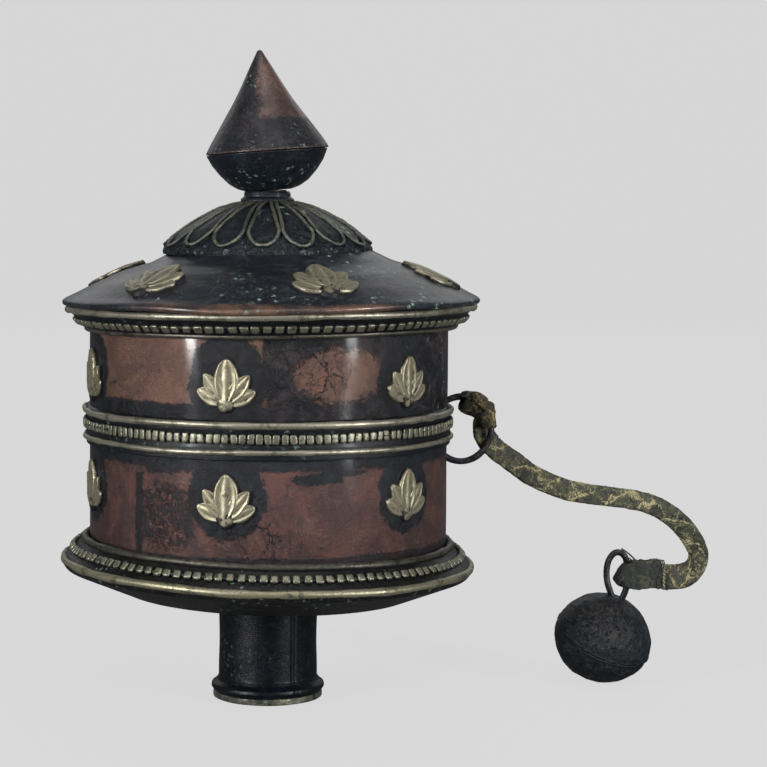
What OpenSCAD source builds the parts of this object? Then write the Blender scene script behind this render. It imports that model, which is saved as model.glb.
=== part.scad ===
// Hand-held prayer wheel: a drum that spins on the spindle of a metal ferrule, with a lift-off
// lid and finial, and a weight that hangs from a wire ring on a flat rawhide strap.
// Millimetres. +Z is up the spindle, the origin is the centre of the ferrule's mouth, the strap
// leaves towards +X, and the front is -Y.

/* [Ferrule] */
// Outer radius of the ferrule's tube
ferrule_r = 9.0; // [8.7:0.1:9.4]
// Height of the ferrule
ferrule_h = 18.2; // [17:0.1:20]
// Radius of the socket that takes the wooden handle
socket_r = 7.9; // [7.4:0.1:8.1]
// Depth of the handle's socket
socket_depth = 15.6; // [12:0.1:16]
// Radius of the iron spindle
spindle_r = 2.0; // [1.8:0.1:2.2]

/* [Drum] */
// Outer radius of the drum's shell
drum_r = 32.5; // [32:0.1:33]
// Thickness of the drum's sheet metal
drum_wall = 1.2; // [1:0.1:1.4]
// Height of the drum's shell
drum_h = 50.4; // [49:0.1:54]
// Height of the middle band's foot above the shell's foot
band_rise = 22.9; // [21:0.1:24]
// Clearance between a turning piece and the spindle
running_gap = 0.05; // [0.03:0.01:0.09]

/* [Lid] */
// Radius of the lotus cap's rim
lotus_r = 18.8; // [17.6:0.1:19]
// Number of petals on the lotus cap
petal_count = 16; // [12:1:20]

/* [Finial] */
// Largest radius of the finial
finial_r = 11.0; // [10:0.1:12]
// Height of the finial's upper cone
finial_cone_h = 18.3; // [16:0.1:20]
// Lean of the finial towards -X, in degrees
finial_lean = 4.5; // [0:0.5:5]

/* [Ornaments] */
// Number of ornaments in each row
ornament_count = 6; // [4:1:6]
// Half the width of a drum ornament
ornament_half_w = 5.0; // [4:0.1:5.4]
// How far an ornament stands proud
ornament_t = 0.8; // [0.5:0.1:1]

/* [Strap and weight] */
// Radius of the ring's centreline
ring_r = 6.0; // [5.8:0.1:6.2]
// Radius of the ring's wire
ring_wire_r = 0.62; // [0.5:0.02:0.7]
// Width of the strap
strap_w = 4.5; // [4:0.1:4.8]
// Thickness of the strap
strap_t = 1.4; // [1:0.1:1.6]
// Largest radius of the weight
weight_r = 9.15; // [8.8:0.05:9.3]
// Half the weight's height along its own axis
weight_h = 8.3; // [8:0.1:8.6]
// Tilt of the weight's axis towards +X, in degrees
weight_tilt = 22; // [18:1:24]
// Tilt of the weight's axis towards the front, in degrees
weight_nod = 17; // [12:1:20]

/* [Hidden] */
$fn = 96;

// Ferrule
washer_r = 8.4;
washer_t = 0.6;
washer_gap = 0.3;
foot_ring_r = 9.9;
foot_flare_r = 10.4;
foot_ring_h = 1.2;
foot_rebate_r = 8.6;
cap_r = socket_r + 0.2;
collar_r = 3.6;
collar_h = 2.0;
bush_r = 5.0;
bush_bore_r = spindle_r + running_gap;

// Levels up the spindle
plate_z = ferrule_h + washer_t + washer_gap;
shell_z = plate_z + 5.1;
shell_top = shell_z + drum_h;
band_z = shell_z + band_rise;
lid_z = shell_top + 0.4;
lotus_z = lid_z + 6.9;
collar_top = lotus_z + 10.2;
finial_z = collar_top + 0.1;
spindle_top = lotus_z + 5.6;

// Base of the drum
plate_r = 26.3;
wire_r = 0.75;
outer_roll = [drum_r + 4.5, 6.1];
base_beads = [drum_r + 2.75, 8.15];
inner_roll = [drum_r + 0.8, 10.0];

// Middle band
band_upper_wire = [drum_r + 0.7, 6.05, 0.62];
band_lower_wire = [drum_r + 0.65, 1.4, 0.5];
shell_inner_r = drum_r - drum_wall;

// What the drum holds
core_r = 6.5;
scroll_r = 26.4;
wrapper_t = 0.6;
scroll_z = plate_z + 4.2;
scroll_h = 42;
tie_r = 0.5;

// Lid
rim_wire = [drum_r + 4.4, -3.2, 0.45];
rim_beads = [drum_r + 2.6, -5.2, 0.75];
rim_lower_wire = [drum_r + 0.95, -6.75, 0.45];
spigot_t = 1.2;
lid_ornament_r = 3.9 - drum_r;
neck_bore_r = 3.05;
tang_r = 3.0;
neck_r = 4.2;
petal_wire_r = 0.3;

// Ring, strap and weight
ring_x = drum_r + 2.9;
ring_z = band_z + 2.5;
hole_reach = drum_r - 0.5;
hole_rise = sqrt(pow(ring_r, 2) - pow(ring_x - hole_reach, 2));
ring_hole_r = 1.9;
knot_r = 2.6;
wire_gap = 0.1;
weight_x = 62.9;
weight_y = 14;
weight_up = cos(weight_tilt) * cos(weight_nod);
weight_z = sqrt(pow(weight_h * weight_up, 2) + pow(weight_r, 2) * (1 - pow(weight_up, 2)));
weight_wall = 1.0;
loop_wire_r = 0.6;
leg_x = 67.3;
leg_low = 18.0;
leg_high = 22.6;
eye_r = 2.1;
eye_waist = 19.4;
leg_bend_r = 2.5;
fold_r = 2.2;
fold_z = 20.8;
fold_h = 4.6;

// The strap's route, from the knot on the ring to the fold on the weight's wire loop
strap_route = [
    [38.5, 1.8, 51.5], [38.8, 1.8, 49.5], [40.0, 1.9, 47.2], [42.2, 2.0, 45.2], [45.0, 2.2, 43.2],
    [48.0, 2.5, 41.0], [51.5, 3.0, 39.2], [55.0, 3.7, 37.8], [58.8, 4.5, 36.9], [62.6, 5.3, 36.3],
    [66.5, 6.1, 35.8], [70.0, 7.0, 34.9], [72.8, 7.8, 33.5], [75.3, 8.6, 31.7], [77.4, 9.4, 29.6],
    [79.2, 10.2, 27.4], [80.3, 10.9, 25.2], [80.6, 11.6, 23.0], [79.8, 12.5, 21.1], [78.0, 13.3, 20.1],
    [75.7, 13.8, 20.0], [73.0, 14.0, 20.3], [70.0, 14.0, 20.7], [68.6, 14.0, 20.8]
];
// How far the strap's flat side is turned from facing the front at each point, in degrees
strap_turn = [
    60, 45, 25, 10, 5, 0, 0, 0, 0, 0, 0, 0, -5, -10, -20, -30, -40, -45, -35, -20, -5, 0, 0, 0
];

// ---- Shared shapes ----

// A ring of round wire about the spindle: place is [radius, height]
module wire_ring(place, r) {
    rotate_extrude() translate(place) circle(r);
}

// A pointed petal with its root at the origin, as the overlap of two discs
module petal_outline(length, width) {
    r = (pow(length / 2, 2) + pow(width / 2, 2)) / width;
    intersection() {
        translate([width / 2 - r, length / 2]) circle(r);
        translate([r - width / 2, length / 2]) circle(r);
    }
}

// A plain lotus flower seen from the side: broad petals that fan out of a round calyx
module lotus_outline(half_w) {
    translate([0, -half_w * 0.7]) {
        for (a = [-66, -38, 38, 66])
            rotate(-a) petal_outline(half_w * (1.5 - abs(a) * 0.006), half_w * 0.62);
        petal_outline(half_w * 1.55, half_w * 0.9);
        circle(half_w * 0.34);
    }
}

// A row of lotus ornaments that wrap the drum's shell at one height
module drum_ornament_row(z) {
    for (i = [0:ornament_count - 1])
        rotate(i * 360 / ornament_count - 10) intersection() {
            rotate_extrude() translate([drum_r, z - 10]) square([ornament_t, 20]);
            translate([0, 0, z]) rotate([90, 0, 0]) linear_extrude(drum_r + 5)
                lotus_outline(ornament_half_w);
        }
}

// ---- Ferrule ----

// The tube widens above the socket, and its cap sits on that step
module ferrule_tube() {
    color("#2b2a30") rotate_extrude() polygon([
        [socket_r, 0], [foot_rebate_r, 0], [foot_rebate_r, foot_ring_h], [foot_ring_r, foot_ring_h],
        [foot_flare_r, 2.0], [foot_flare_r - 0.1, 2.6], [ferrule_r + 0.4, 3.3], [ferrule_r, 4.0],
        [ferrule_r, ferrule_h - 0.2], [ferrule_r - 0.3, ferrule_h], [cap_r, ferrule_h],
        [cap_r, socket_depth], [socket_r, socket_depth]
    ]);
}

module foot_ring() {
    color("#a8a090") difference() {
        cylinder(r = foot_ring_r, h = foot_ring_h);
        translate([0, 0, -1]) cylinder(r = foot_rebate_r, h = foot_ring_h + 2);
    }
}

module ferrule_cap() {
    color("#3a3430") translate([0, 0, socket_depth]) difference() {
        cylinder(r = cap_r, h = ferrule_h - socket_depth);
        translate([0, 0, -1]) cylinder(r = spindle_r, h = ferrule_h);
    }
}

module bearing_washer() {
    color("#8a7440") translate([0, 0, ferrule_h]) difference() {
        cylinder(r = washer_r, h = washer_t);
        translate([0, 0, -1]) cylinder(r = spindle_r, h = washer_t + 2);
    }
}

module spindle() {
    color("#55504c") translate([0, 0, socket_depth])
        cylinder(r = spindle_r, h = spindle_top - socket_depth);
}

module spindle_collar() {
    color("#55504c") translate([0, 0, scroll_z + 0.6]) difference() {
        cylinder(r = collar_r, h = collar_h);
        translate([0, 0, -1]) cylinder(r = spindle_r, h = collar_h + 2);
    }
}

// ---- Drum ----

module base_plate() {
    color("#26252c") translate([0, 0, plate_z]) rotate_extrude() polygon([
        [bush_r, 0], [ferrule_r + 0.3, 0], [plate_r, 0.4],
        [plate_r, 1.6], [ferrule_r + 0.3, 1.4], [bush_r, 1.4]
    ]);
}

module bottom_bush() {
    color("#a8853a") translate([0, 0, plate_z]) difference() {
        cylinder(r = bush_r, h = 4.2);
        translate([0, 0, -1]) cylinder(r = bush_bore_r, h = 7);
    }
}

module base_skirt() {
    color("#5a3b33") translate([0, 0, plate_z]) rotate_extrude() difference() {
        polygon([
            [plate_r, 0.4], [drum_r + 4.4, 4.7], [drum_r + 4.9, 5.5], [drum_r + 4.5, 6.5],
            [drum_r + 2.9, 7.9], [drum_r + 1.7, 9.0], [drum_r + 0.9, 9.9], [drum_r, 10.2],
            [drum_r, 5.1], [plate_r, 1.6]
        ]);
        translate(outer_roll) circle(wire_r);
        translate(base_beads) circle(wire_r);
        translate(inner_roll) circle(wire_r);
    }
}

module base_outer_roll() {
    color("#9a9282") translate([0, 0, plate_z]) wire_ring(outer_roll, wire_r);
}

module base_bead_strip() {
    color("#a59f90") translate([0, 0, plate_z]) wire_ring(base_beads, wire_r);
}

module base_inner_roll() {
    color("#6b665c") translate([0, 0, plate_z]) wire_ring(inner_roll, wire_r);
}

module drum_shell() {
    color("#5f4137") difference() {
        translate([0, 0, shell_z]) difference() {
            cylinder(r = drum_r, h = drum_h);
            translate([0, 0, -1]) cylinder(r = shell_inner_r, h = drum_h + 2);
        }
        for (side = [-1, 1])
            translate([drum_r - 4, 0, ring_z + side * hole_rise]) rotate([0, 90, 0])
                cylinder(r = ring_hole_r, h = 8);
    }
}

module mid_band() {
    color("#24232a") translate([0, 0, band_z]) rotate_extrude() difference() {
        polygon([
            [drum_r, 0], [drum_r + 0.6, 0.1], [drum_r + 0.6, 2.3], [drum_r + 0.4, 3.0],
            [drum_r + 0.4, 4.6], [drum_r + 0.55, 5.2], [drum_r + 0.55, 6.6], [drum_r, 6.9]
        ]);
        translate([band_upper_wire.x, band_upper_wire.y]) circle(band_upper_wire.z);
        translate([band_lower_wire.x, band_lower_wire.y]) circle(band_lower_wire.z);
    }
}

module band_upper_wire_ring() {
    color("#b0a896") translate([0, 0, band_z])
        wire_ring([band_upper_wire.x, band_upper_wire.y], band_upper_wire.z);
}

module band_bead_strip() {
    color("#a8a190") translate([0, 0, band_z]) rotate_extrude() polygon([
        [drum_r + 0.4, 3.0], [drum_r + 0.9, 3.1], [drum_r + 1.15, 3.4],
        [drum_r + 1.15, 4.2], [drum_r + 0.9, 4.5], [drum_r + 0.4, 4.6]
    ]);
}

module band_lower_wire_ring() {
    color("#b0a896") translate([0, 0, band_z])
        wire_ring([band_lower_wire.x, band_lower_wire.y], band_lower_wire.z);
}

module upper_ornaments() {
    color("#b5ad9a") drum_ornament_row(band_z + 13.2);
}

module lower_ornaments() {
    color("#b5ad9a") drum_ornament_row(band_z - 6.5);
}

module core_tube() {
    color("#b89a62") translate([0, 0, scroll_z]) difference() {
        cylinder(r = core_r, h = scroll_h);
        translate([0, 0, -1]) cylinder(r = spindle_r + 0.4, h = scroll_h + 2);
        translate([0, 0, -1]) cylinder(r = collar_r + 0.4, h = collar_h + 2.2);
    }
}

module paper_scroll() {
    color("#d8cba4") translate([0, 0, scroll_z]) difference() {
        cylinder(r = scroll_r, h = scroll_h);
        translate([0, 0, -1]) cylinder(r = core_r, h = scroll_h + 2);
    }
}

module scroll_wrapper() {
    color("#c08a2e") translate([0, 0, scroll_z + 3]) difference() {
        cylinder(r = scroll_r + wrapper_t, h = scroll_h - 6);
        translate([0, 0, -1]) cylinder(r = scroll_r, h = scroll_h);
    }
}

module scroll_ties() {
    color("#8c2f28") for (z = [scroll_z + 1.5, scroll_z + scroll_h - 1.5])
        translate([0, 0, z]) wire_ring([scroll_r + tie_r, 0], tie_r);
}

// ---- Lid ----

// The top of the cover's slope, from under the lotus cap out to its edge
cover_slope = [
    [drum_r - 10.7, 4.9], [drum_r - 5.5, 3.3], [drum_r - 0.6, 1.1], [drum_r + 3.0, -0.7]
];

module lid_cover() {
    color("#4a3a36") translate([0, 0, lid_z]) rotate_extrude() polygon(concat(
        [[bush_r, 8.0], [lotus_r - 0.9, 6.9]], cover_slope,
        [
            [drum_r + 4.8, -1.5], [drum_r + 5.3, -1.9], [drum_r + 5.3, -2.4], [drum_r + 5.0, -2.75],
            [drum_r + 4.4, -2.75], [drum_r + 4.1, -2.6], [drum_r + 2.5, -1.6], [drum_r + 0.4, -0.3],
            [drum_r - 1.0, 0.35], [drum_r - 5.8, 2.1], [drum_r - 11, 3.7], [lotus_r - 1.1, 5.6],
            [bush_r, 6.8]
        ]
    ));
}

module lid_rim() {
    color("#2a2a30") translate([0, 0, lid_z]) rotate_extrude() difference() {
        polygon([
            [drum_r + 0.4, -7.1], [drum_r + 0.8, -7.1], [drum_r + 4.4, -3.4], [drum_r + 4.4, -2.75],
            [drum_r + 4.1, -2.6], [drum_r + 2.5, -1.6], [drum_r + 0.4, -0.3]
        ]);
        for (w = [rim_wire, rim_beads, rim_lower_wire])
            translate([w.x, w.y]) circle(w.z);
    }
}

module lid_rim_wire() {
    color("#b0a896") translate([0, 0, lid_z]) wire_ring([rim_wire.x, rim_wire.y], rim_wire.z);
}

module lid_bead_strip() {
    color("#a8a190") translate([0, 0, lid_z]) wire_ring([rim_beads.x, rim_beads.y], rim_beads.z);
}

module lid_lower_wire() {
    color("#b0a896") translate([0, 0, lid_z])
        wire_ring([rim_lower_wire.x, rim_lower_wire.y], rim_lower_wire.z);
}

module lid_spigot() {
    color("#4a3a36") translate([0, 0, lid_z - 9]) difference() {
        cylinder(r = shell_inner_r - running_gap, h = 9.4);
        translate([0, 0, -1]) cylinder(r = shell_inner_r - running_gap - spigot_t, h = 12);
    }
}

module lid_bush() {
    color("#a8853a") translate([0, 0, lid_z + 4.5]) difference() {
        cylinder(r = bush_r, h = 4.4);
        translate([0, 0, -1]) cylinder(r = bush_bore_r, h = 7);
    }
}

// The lid's ornaments follow its slope, as a shell over the cover cut to the lotus outline
module lid_ornaments() {
    color("#b5ad9a") for (i = [0:ornament_count - 1])
        rotate(i * 360 / ornament_count + 20) intersection() {
            translate([0, 0, lid_z]) rotate_extrude() polygon(concat(
                cover_slope, [for (k = [len(cover_slope) - 1:-1:0]) cover_slope[k] + [0, 0.9]]
            ));
            translate([0, lid_ornament_r, 0]) linear_extrude(lotus_z + 10)
                lotus_outline(ornament_half_w * 1.15);
        }
}

lotus_outer = [
    [lotus_r, 0.4], [lotus_r - 0.2, 0.9], [lotus_r - 0.9, 1.6], [lotus_r - 2.1, 2.7],
    [lotus_r - 3.5, 3.8], [lotus_r - 5.2, 4.9], [lotus_r - 7.3, 5.9], [lotus_r - 9.7, 6.9],
    [neck_r + 0.7, 7.6], [neck_r, 7.7]
];
lotus_inner = [
    [neck_r, 6.6], [lotus_r - 9.9, 5.8], [lotus_r - 7.6, 4.9], [lotus_r - 5.8, 4.0],
    [lotus_r - 4.3, 2.9], [lotus_r - 2.9, 1.7], [lotus_r - 1.9, 0.6], [lotus_r - 1.1, 0]
];

module lotus_cap() {
    color("#2c2d33") translate([0, 0, lotus_z]) rotate_extrude()
        polygon(concat(lotus_outer, lotus_inner, [[lotus_r - 0.4, 0]]));
}

// One rib of wire along each petal, bent over the cap
module lotus_petal_wires() {
    rib = [for (k = [2:len(lotus_outer) - 2]) lotus_outer[k]];
    color("#a59d8b") translate([0, 0, lotus_z]) intersection() {
        rotate_extrude() polygon(concat(
            rib, [for (k = [len(rib) - 1:-1:0]) rib[k] + [petal_wire_r, 2 * petal_wire_r]]
        ));
        for (i = [0:petal_count - 1])
            rotate(i * 360 / petal_count) translate([0, -petal_wire_r, 0])
                cube([lotus_r + 2, 2 * petal_wire_r, 10]);
    }
}

module neck_collar() {
    color("#3c3f42") translate([0, 0, lotus_z + 2]) difference() {
        union() {
            cylinder(r = neck_r, h = 8.2);
            translate([0, 0, 6.8]) cylinder(r1 = neck_r + 0.7, r2 = neck_r, h = 1.4);
        }
        translate([0, 0, -1]) cylinder(r = neck_bore_r, h = 11);
    }
}

// ---- Finial ----

module finial_tang() {
    color("#3c3a3a") translate([0, 0, lotus_z + 6.5]) cylinder(r = tang_r, h = 4.4);
}

module finial_bowl() {
    color("#33333a") translate([0, 0, finial_z]) rotate([0, -finial_lean, 0]) rotate_extrude() polygon([
        [0, 0.5], [4.0, 0.5], [5.6, 1.0], [7.2, 2.0], [8.8, 3.7], [finial_r - 0.9, 5.5],
        [finial_r, 7.5],
        [finial_r - 0.8, 7.5], [finial_r - 1.8, 5.6], [8.0, 4.0], [6.6, 2.8], [5.0, 2.2], [0, 2.0]
    ]);
}

module finial_cone() {
    color("#4a342e") translate([0, 0, finial_z]) rotate([0, -finial_lean, 0])
        rotate_extrude() polygon([
            [0, 6.8], [finial_r - 1.8, 6.8], [finial_r - 1.2, 7.5], [finial_r, 7.5],
            [finial_r - 0.3, 8.1],
            [0.6, 7.5 + finial_cone_h - 0.6], [0.25, 7.5 + finial_cone_h], [0, 7.5 + finial_cone_h]
        ]);
}

// ---- Ring, strap and weight ----

module ring() {
    color("#2a272b") translate([ring_x, 0, ring_z]) rotate([90, 0, 0]) rotate_extrude()
        translate([ring_r, 0]) circle(ring_wire_r);
}

// The strap's knot is a sleeve over the ring's upper right quarter
module strap_knot() {
    color("#5a5236") translate([ring_x, 0, ring_z]) rotate([90, 0, 0]) rotate_extrude(angle = 80)
        translate([ring_r, 0]) difference() {
            circle(knot_r);
            circle(ring_wire_r + wire_gap);
        }
}

// The point past each end repeats the end's own direction
function route_step(i) =
    strap_route[min(i + 1, len(strap_route) - 1)] - strap_route[max(i - 1, 0)];
function unit(v) = v / norm(v);
// The strap's width lies across its route, in the plane of the front, and turns about the route
function flat_side(i) =
    let (t = unit(route_step(i)), w = unit(cross(t, [0, -1, 0])), n = cross(w, t))
    [w * cos(strap_turn[i]) + n * sin(strap_turn[i]), n * cos(strap_turn[i]) - w * sin(strap_turn[i])];
sides = 8;
function strap_ring(i) =
    let (f = flat_side(i)) [
        for (k = [0:sides - 1])
            let (a = (k + 0.5) * 360 / sides)
            strap_route[i] + (f[0] * cos(a) * strap_w + f[1] * sin(a) * strap_t) / 2 / cos(180 / sides)
    ];

module strap() {
    rings = len(strap_route);
    color("#5e573d") polyhedron(
        points = [for (i = [0:rings - 1]) each strap_ring(i)],
        faces = concat(
            [[for (k = [0:sides - 1]) k]],
            [[for (k = [sides - 1:-1:0]) (rings - 1) * sides + k]],
            [for (i = [0:rings - 2], k = [0:sides - 1])
                let (a = i * sides + k, b = i * sides + (k + 1) % sides) [a, a + sides, b + sides]],
            [for (i = [0:rings - 2], k = [0:sides - 1])
                let (a = i * sides + k, b = i * sides + (k + 1) % sides) [a, b + sides, b]]
        )
    );
}

module strap_end_fold() {
    color("#4c4632") translate([leg_x, weight_y, fold_z - fold_h / 2]) difference() {
        union() {
            cylinder(r = fold_r, h = fold_h);
            translate([0, -1.2, 0]) cube([5.4, 2.4, fold_h]);
        }
        translate([0, 0, -1]) cylinder(r = loop_wire_r + wire_gap, h = fold_h + 2);
    }
}

module strap_binding() {
    color("#b8a36a") translate([leg_x + 5.6, weight_y, fold_z - 0.3]) difference() {
        cube([1.2, 3.2, fold_h + 0.8], center = true);
        cube([2.4, 2.4, fold_h], center = true);
    }
}

// A wire leg that runs down, bends towards +X and goes on straight
module bent_leg(bend, tail) {
    translate([leg_bend_r, 0, 0]) rotate([90, 0, 0]) rotate(180) rotate_extrude(angle = bend)
        translate([leg_bend_r, 0]) circle(loop_wire_r);
    translate([leg_bend_r * (1 - cos(bend)), 0, -leg_bend_r * sin(bend)]) rotate([0, 180 - bend, 0])
        cylinder(r = loop_wire_r, h = tail);
}

// The wire eye on the weight: two legs that rise from its top, joined by a half turn
module weight_loop() {
    color("#2a2a2c") translate([leg_x - eye_r, weight_y, leg_high]) {
        rotate([90, 0, 0]) rotate_extrude(angle = 180) translate([eye_r, 0]) circle(loop_wire_r);
        translate([eye_r, 0, leg_low - leg_high]) {
            cylinder(r = loop_wire_r, h = leg_high - leg_low);
            mirror([1, 0, 0]) bent_leg(30, 2.6);
        }
        translate([-eye_r, 0, eye_waist - leg_high]) {
            cylinder(r = loop_wire_r, h = leg_high - eye_waist);
            bent_leg(25, 3.2);
        }
    }
}

// The weight's outline from one angle above the seam to its top, or that line inset by the wall
function weight_arc(from, inset) =
    [for (a = [from:7.5:90]) [(weight_r - inset) * cos(a), (weight_h - inset) * sin(a)]];
function reversed(list) = [for (i = [len(list) - 1:-1:0]) list[i]];

module on_weight() {
    translate([weight_x, weight_y, weight_z]) rotate([0, weight_tilt, 0])
        rotate([weight_nod, 0, 0]) children();
}

module weight_half() {
    rotate_extrude() polygon(concat(weight_arc(0, 0), reversed(weight_arc(0, weight_wall))));
}

module weight_upper_half() {
    color("#26262a") on_weight() weight_half();
}

module weight_lower_half() {
    color("#2c2b2c") on_weight() mirror([0, 0, 1]) weight_half();
}

module weight_core() {
    color("#6d7075") on_weight() rotate_extrude() polygon(weight_arc(-90, weight_wall));
}

ferrule_tube();
foot_ring();
ferrule_cap();
bearing_washer();
spindle();
spindle_collar();
base_plate();
bottom_bush();
base_skirt();
base_outer_roll();
base_bead_strip();
base_inner_roll();
drum_shell();
mid_band();
band_upper_wire_ring();
band_bead_strip();
band_lower_wire_ring();
upper_ornaments();
lower_ornaments();
core_tube();
paper_scroll();
scroll_wrapper();
scroll_ties();
lid_cover();
lid_rim();
lid_rim_wire();
lid_bead_strip();
lid_lower_wire();
lid_spigot();
lid_bush();
lid_ornaments();
lotus_cap();
lotus_petal_wires();
neck_collar();
finial_tang();
finial_bowl();
finial_cone();
ring();
strap_knot();
strap();
strap_end_fold();
strap_binding();
weight_loop();
weight_upper_half();
weight_lower_half();
weight_core();
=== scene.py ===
"""Looks of the hand-held prayer wheel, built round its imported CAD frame.
Lengths inside this script are millimetres; meshes are scaled to metres when they are made."""

import math
import random

import bpy
import numpy as np
from mathutils import Matrix, Vector, noise


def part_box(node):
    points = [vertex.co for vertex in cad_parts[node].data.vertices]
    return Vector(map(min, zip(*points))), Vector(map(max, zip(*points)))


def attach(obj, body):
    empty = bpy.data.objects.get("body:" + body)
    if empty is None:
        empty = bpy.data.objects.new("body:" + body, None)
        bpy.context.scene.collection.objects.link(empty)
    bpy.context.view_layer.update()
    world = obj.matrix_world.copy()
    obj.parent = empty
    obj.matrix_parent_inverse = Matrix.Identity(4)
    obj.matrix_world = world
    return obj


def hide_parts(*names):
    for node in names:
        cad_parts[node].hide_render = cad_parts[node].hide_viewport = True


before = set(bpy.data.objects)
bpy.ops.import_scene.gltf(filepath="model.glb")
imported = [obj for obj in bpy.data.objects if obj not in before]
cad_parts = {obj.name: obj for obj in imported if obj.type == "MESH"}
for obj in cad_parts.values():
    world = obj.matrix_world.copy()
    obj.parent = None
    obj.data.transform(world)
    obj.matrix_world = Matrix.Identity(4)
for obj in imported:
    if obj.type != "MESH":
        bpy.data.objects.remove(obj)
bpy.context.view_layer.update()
MM = 0.001


def low(node):
    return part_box(node)[0] / MM


def high(node):
    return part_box(node)[1] / MM


# ---------------------------------------------------------------- levels and radii from the frame
drum_r = high("drum_shell").x
shell_z = low("drum_shell").z
shell_top = high("drum_shell").z
plate_z = low("base_plate").z
band_z = low("mid_band").z
lid_z = shell_top + 0.4
lotus_z = low("lotus_cap").z
lotus_r = high("lotus_cap").x
collar_top = high("neck_collar").z
finial_z = collar_top + 0.1
finial_lean = math.radians(4.5)
ring_centre = Vector((drum_r + 2.9, 0, band_z + 2.5))
ring_r = 6.0
ornament_turn = -10.0
ornaments = 6
ornament_step = 360.0 / ornaments
upper_row_z = band_z + 13.2
lower_row_z = band_z - 6.5

# ---------------------------------------------------------------- camera
scene = bpy.context.scene
camera = bpy.data.objects.new("camera", bpy.data.cameras.new("camera"))
scene.collection.objects.link(camera)
scene.camera = camera
camera.data.sensor_width = 36
camera.data.lens = 110.8
camera.data.clip_start, camera.data.clip_end = 0.01, 20
camera.location = (0.02086, -0.429, 0.0940)
camera_roll = 0.5
camera.rotation_euler = (Matrix.Rotation(math.radians(90 - 4.83), 3, "X")
                         @ Matrix.Rotation(math.radians(camera_roll), 3, "Z")).to_euler()


# ---------------------------------------------------------------- mesh building
def make_mesh(name, verts, faces, raised=None, uv=None):
    """A mesh object from points in millimetres. raised is 0 in a hollow and 1 on a high place; white metal reads
    it as wear and also as painted shade in the hollows and a painted highlight on the high places.
    """
    mesh = bpy.data.meshes.new(name)
    mesh.from_pydata((np.asarray(verts, float) * MM).tolist(), [], [tuple(f) for f in faces])
    mesh.polygons.foreach_set("use_smooth", [True] * len(mesh.polygons))
    if raised is not None:
        layer = mesh.attributes.new("raised", "FLOAT", "POINT")
        layer.data.foreach_set("value", np.asarray(raised, np.float32))
    if uv is not None:
        layer = mesh.uv_layers.new(name="along")
        loops = np.zeros(len(mesh.loops), np.int32)
        mesh.loops.foreach_get("vertex_index", loops)
        layer.data.foreach_set("uv", np.asarray(uv, np.float32)[loops].ravel())
    mesh.update()
    obj = bpy.data.objects.new(name, mesh)
    scene.collection.objects.link(obj)
    return obj


def piece(obj, body, material, stands_for=()):
    """Gives the piece its body and its material in a single slot, and hides the CAD nodes it stands for."""
    obj.data.materials.clear()
    obj.data.materials.append(material)
    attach(obj, body)
    if stands_for:
        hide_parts(*stands_for)
    return obj


def merge(parts):
    """One (verts, faces, raised) from several."""
    verts, faces, raised, start = [], [], [], 0
    for v, f, h in parts:
        verts.append(np.asarray(v, float))
        faces.extend([tuple(i + start for i in face) for face in f])
        raised.append(np.asarray(h, float))
        start += len(v)
    return np.concatenate(verts), faces, np.concatenate(raised)


def soften(profile, radius, steps=4):
    """The closed profile with each corner rounded off, except on the spindle's own line."""
    pts = [Vector((p[0], p[1])) for p in profile]
    out = []
    for i, p in enumerate(pts):
        a, b = pts[i - 1], pts[(i + 1) % len(pts)]
        da, db = (a - p).length, (b - p).length
        if p.x < 1e-6 or min(da, db) < 1e-6:
            out.append(p)
            continue
        s = p + (a - p) * min(radius / da, 0.45)
        e = p + (b - p) * min(radius / db, 0.45)
        for k in range(steps + 1):
            t = k / steps
            out.append(s * (1 - t) ** 2 + p * 2 * t * (1 - t) + e * t * t)
    return out


def divide(profile, longest):
    """The closed profile with its long edges cut up."""
    out = []
    for i, a in enumerate(profile):
        b = profile[(i + 1) % len(profile)]
        n = max(1, math.ceil((b - a).length / longest))
        out.extend(a.lerp(b, k / n) for k in range(n))
    return out


def waves(seed, amplitude, slow=5, count=12, height=0.14):
    """A smooth random field of the angle and height, in millimetres, for hand-worked metal."""
    r = random.Random(seed)
    terms = [(r.randint(1, slow), r.uniform(-height, height), r.uniform(0, math.tau),
              r.uniform(0.4, 1.0)) for _ in range(count)]
    scale = amplitude / math.sqrt(sum(t[3] ** 2 for t in terms) / 2)

    def field(angle, z):
        return scale * sum(t[3] * np.sin(t[0] * angle + t[1] * z * math.tau + t[2]) for t in terms)
    return field


def grid_faces(rows, cols, wrap_rows, wrap_cols):
    """Quads of a grid of rows by cols points; the normal is (along rows) x (along cols)."""
    faces = []
    for i in range(rows if wrap_rows else rows - 1):
        a = i * cols
        b = ((i + 1) % rows) * cols
        for j in range(cols if wrap_cols else cols - 1):
            k = (j + 1) % cols
            faces.append((a + j, b + j, b + k, a + k))
    return faces


def revolved(profile, steps, field, radius, longest=1.2):
    """(verts, faces, raised) of a profile of (radius, height) points turned about the spindle.
    radius rounds its corners, longest is its longest edge, and field(angle, height) moves the wall out."""
    pts = [Vector((p[0], p[1])) for p in profile]
    area = sum(a.x * b.y - b.x * a.y for a, b in zip(pts, pts[1:] + pts[:1]))
    if area < 0:
        pts.reverse()
    pts = divide(soften(pts, radius) if radius else pts, longest)
    r = np.array([p.x for p in pts])[None, :]
    z = np.array([p.y for p in pts])[None, :]
    angle = (np.arange(steps) * math.tau / steps)[:, None]
    rr = r + (field(angle, z) * np.minimum(1, r / 3) if field else 0)
    verts = np.stack([rr * np.cos(angle), rr * np.sin(angle), z + 0 * angle], -1).reshape(-1, 3)
    return verts, grid_faces(steps, len(pts), True, True), np.ones(len(verts))


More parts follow.
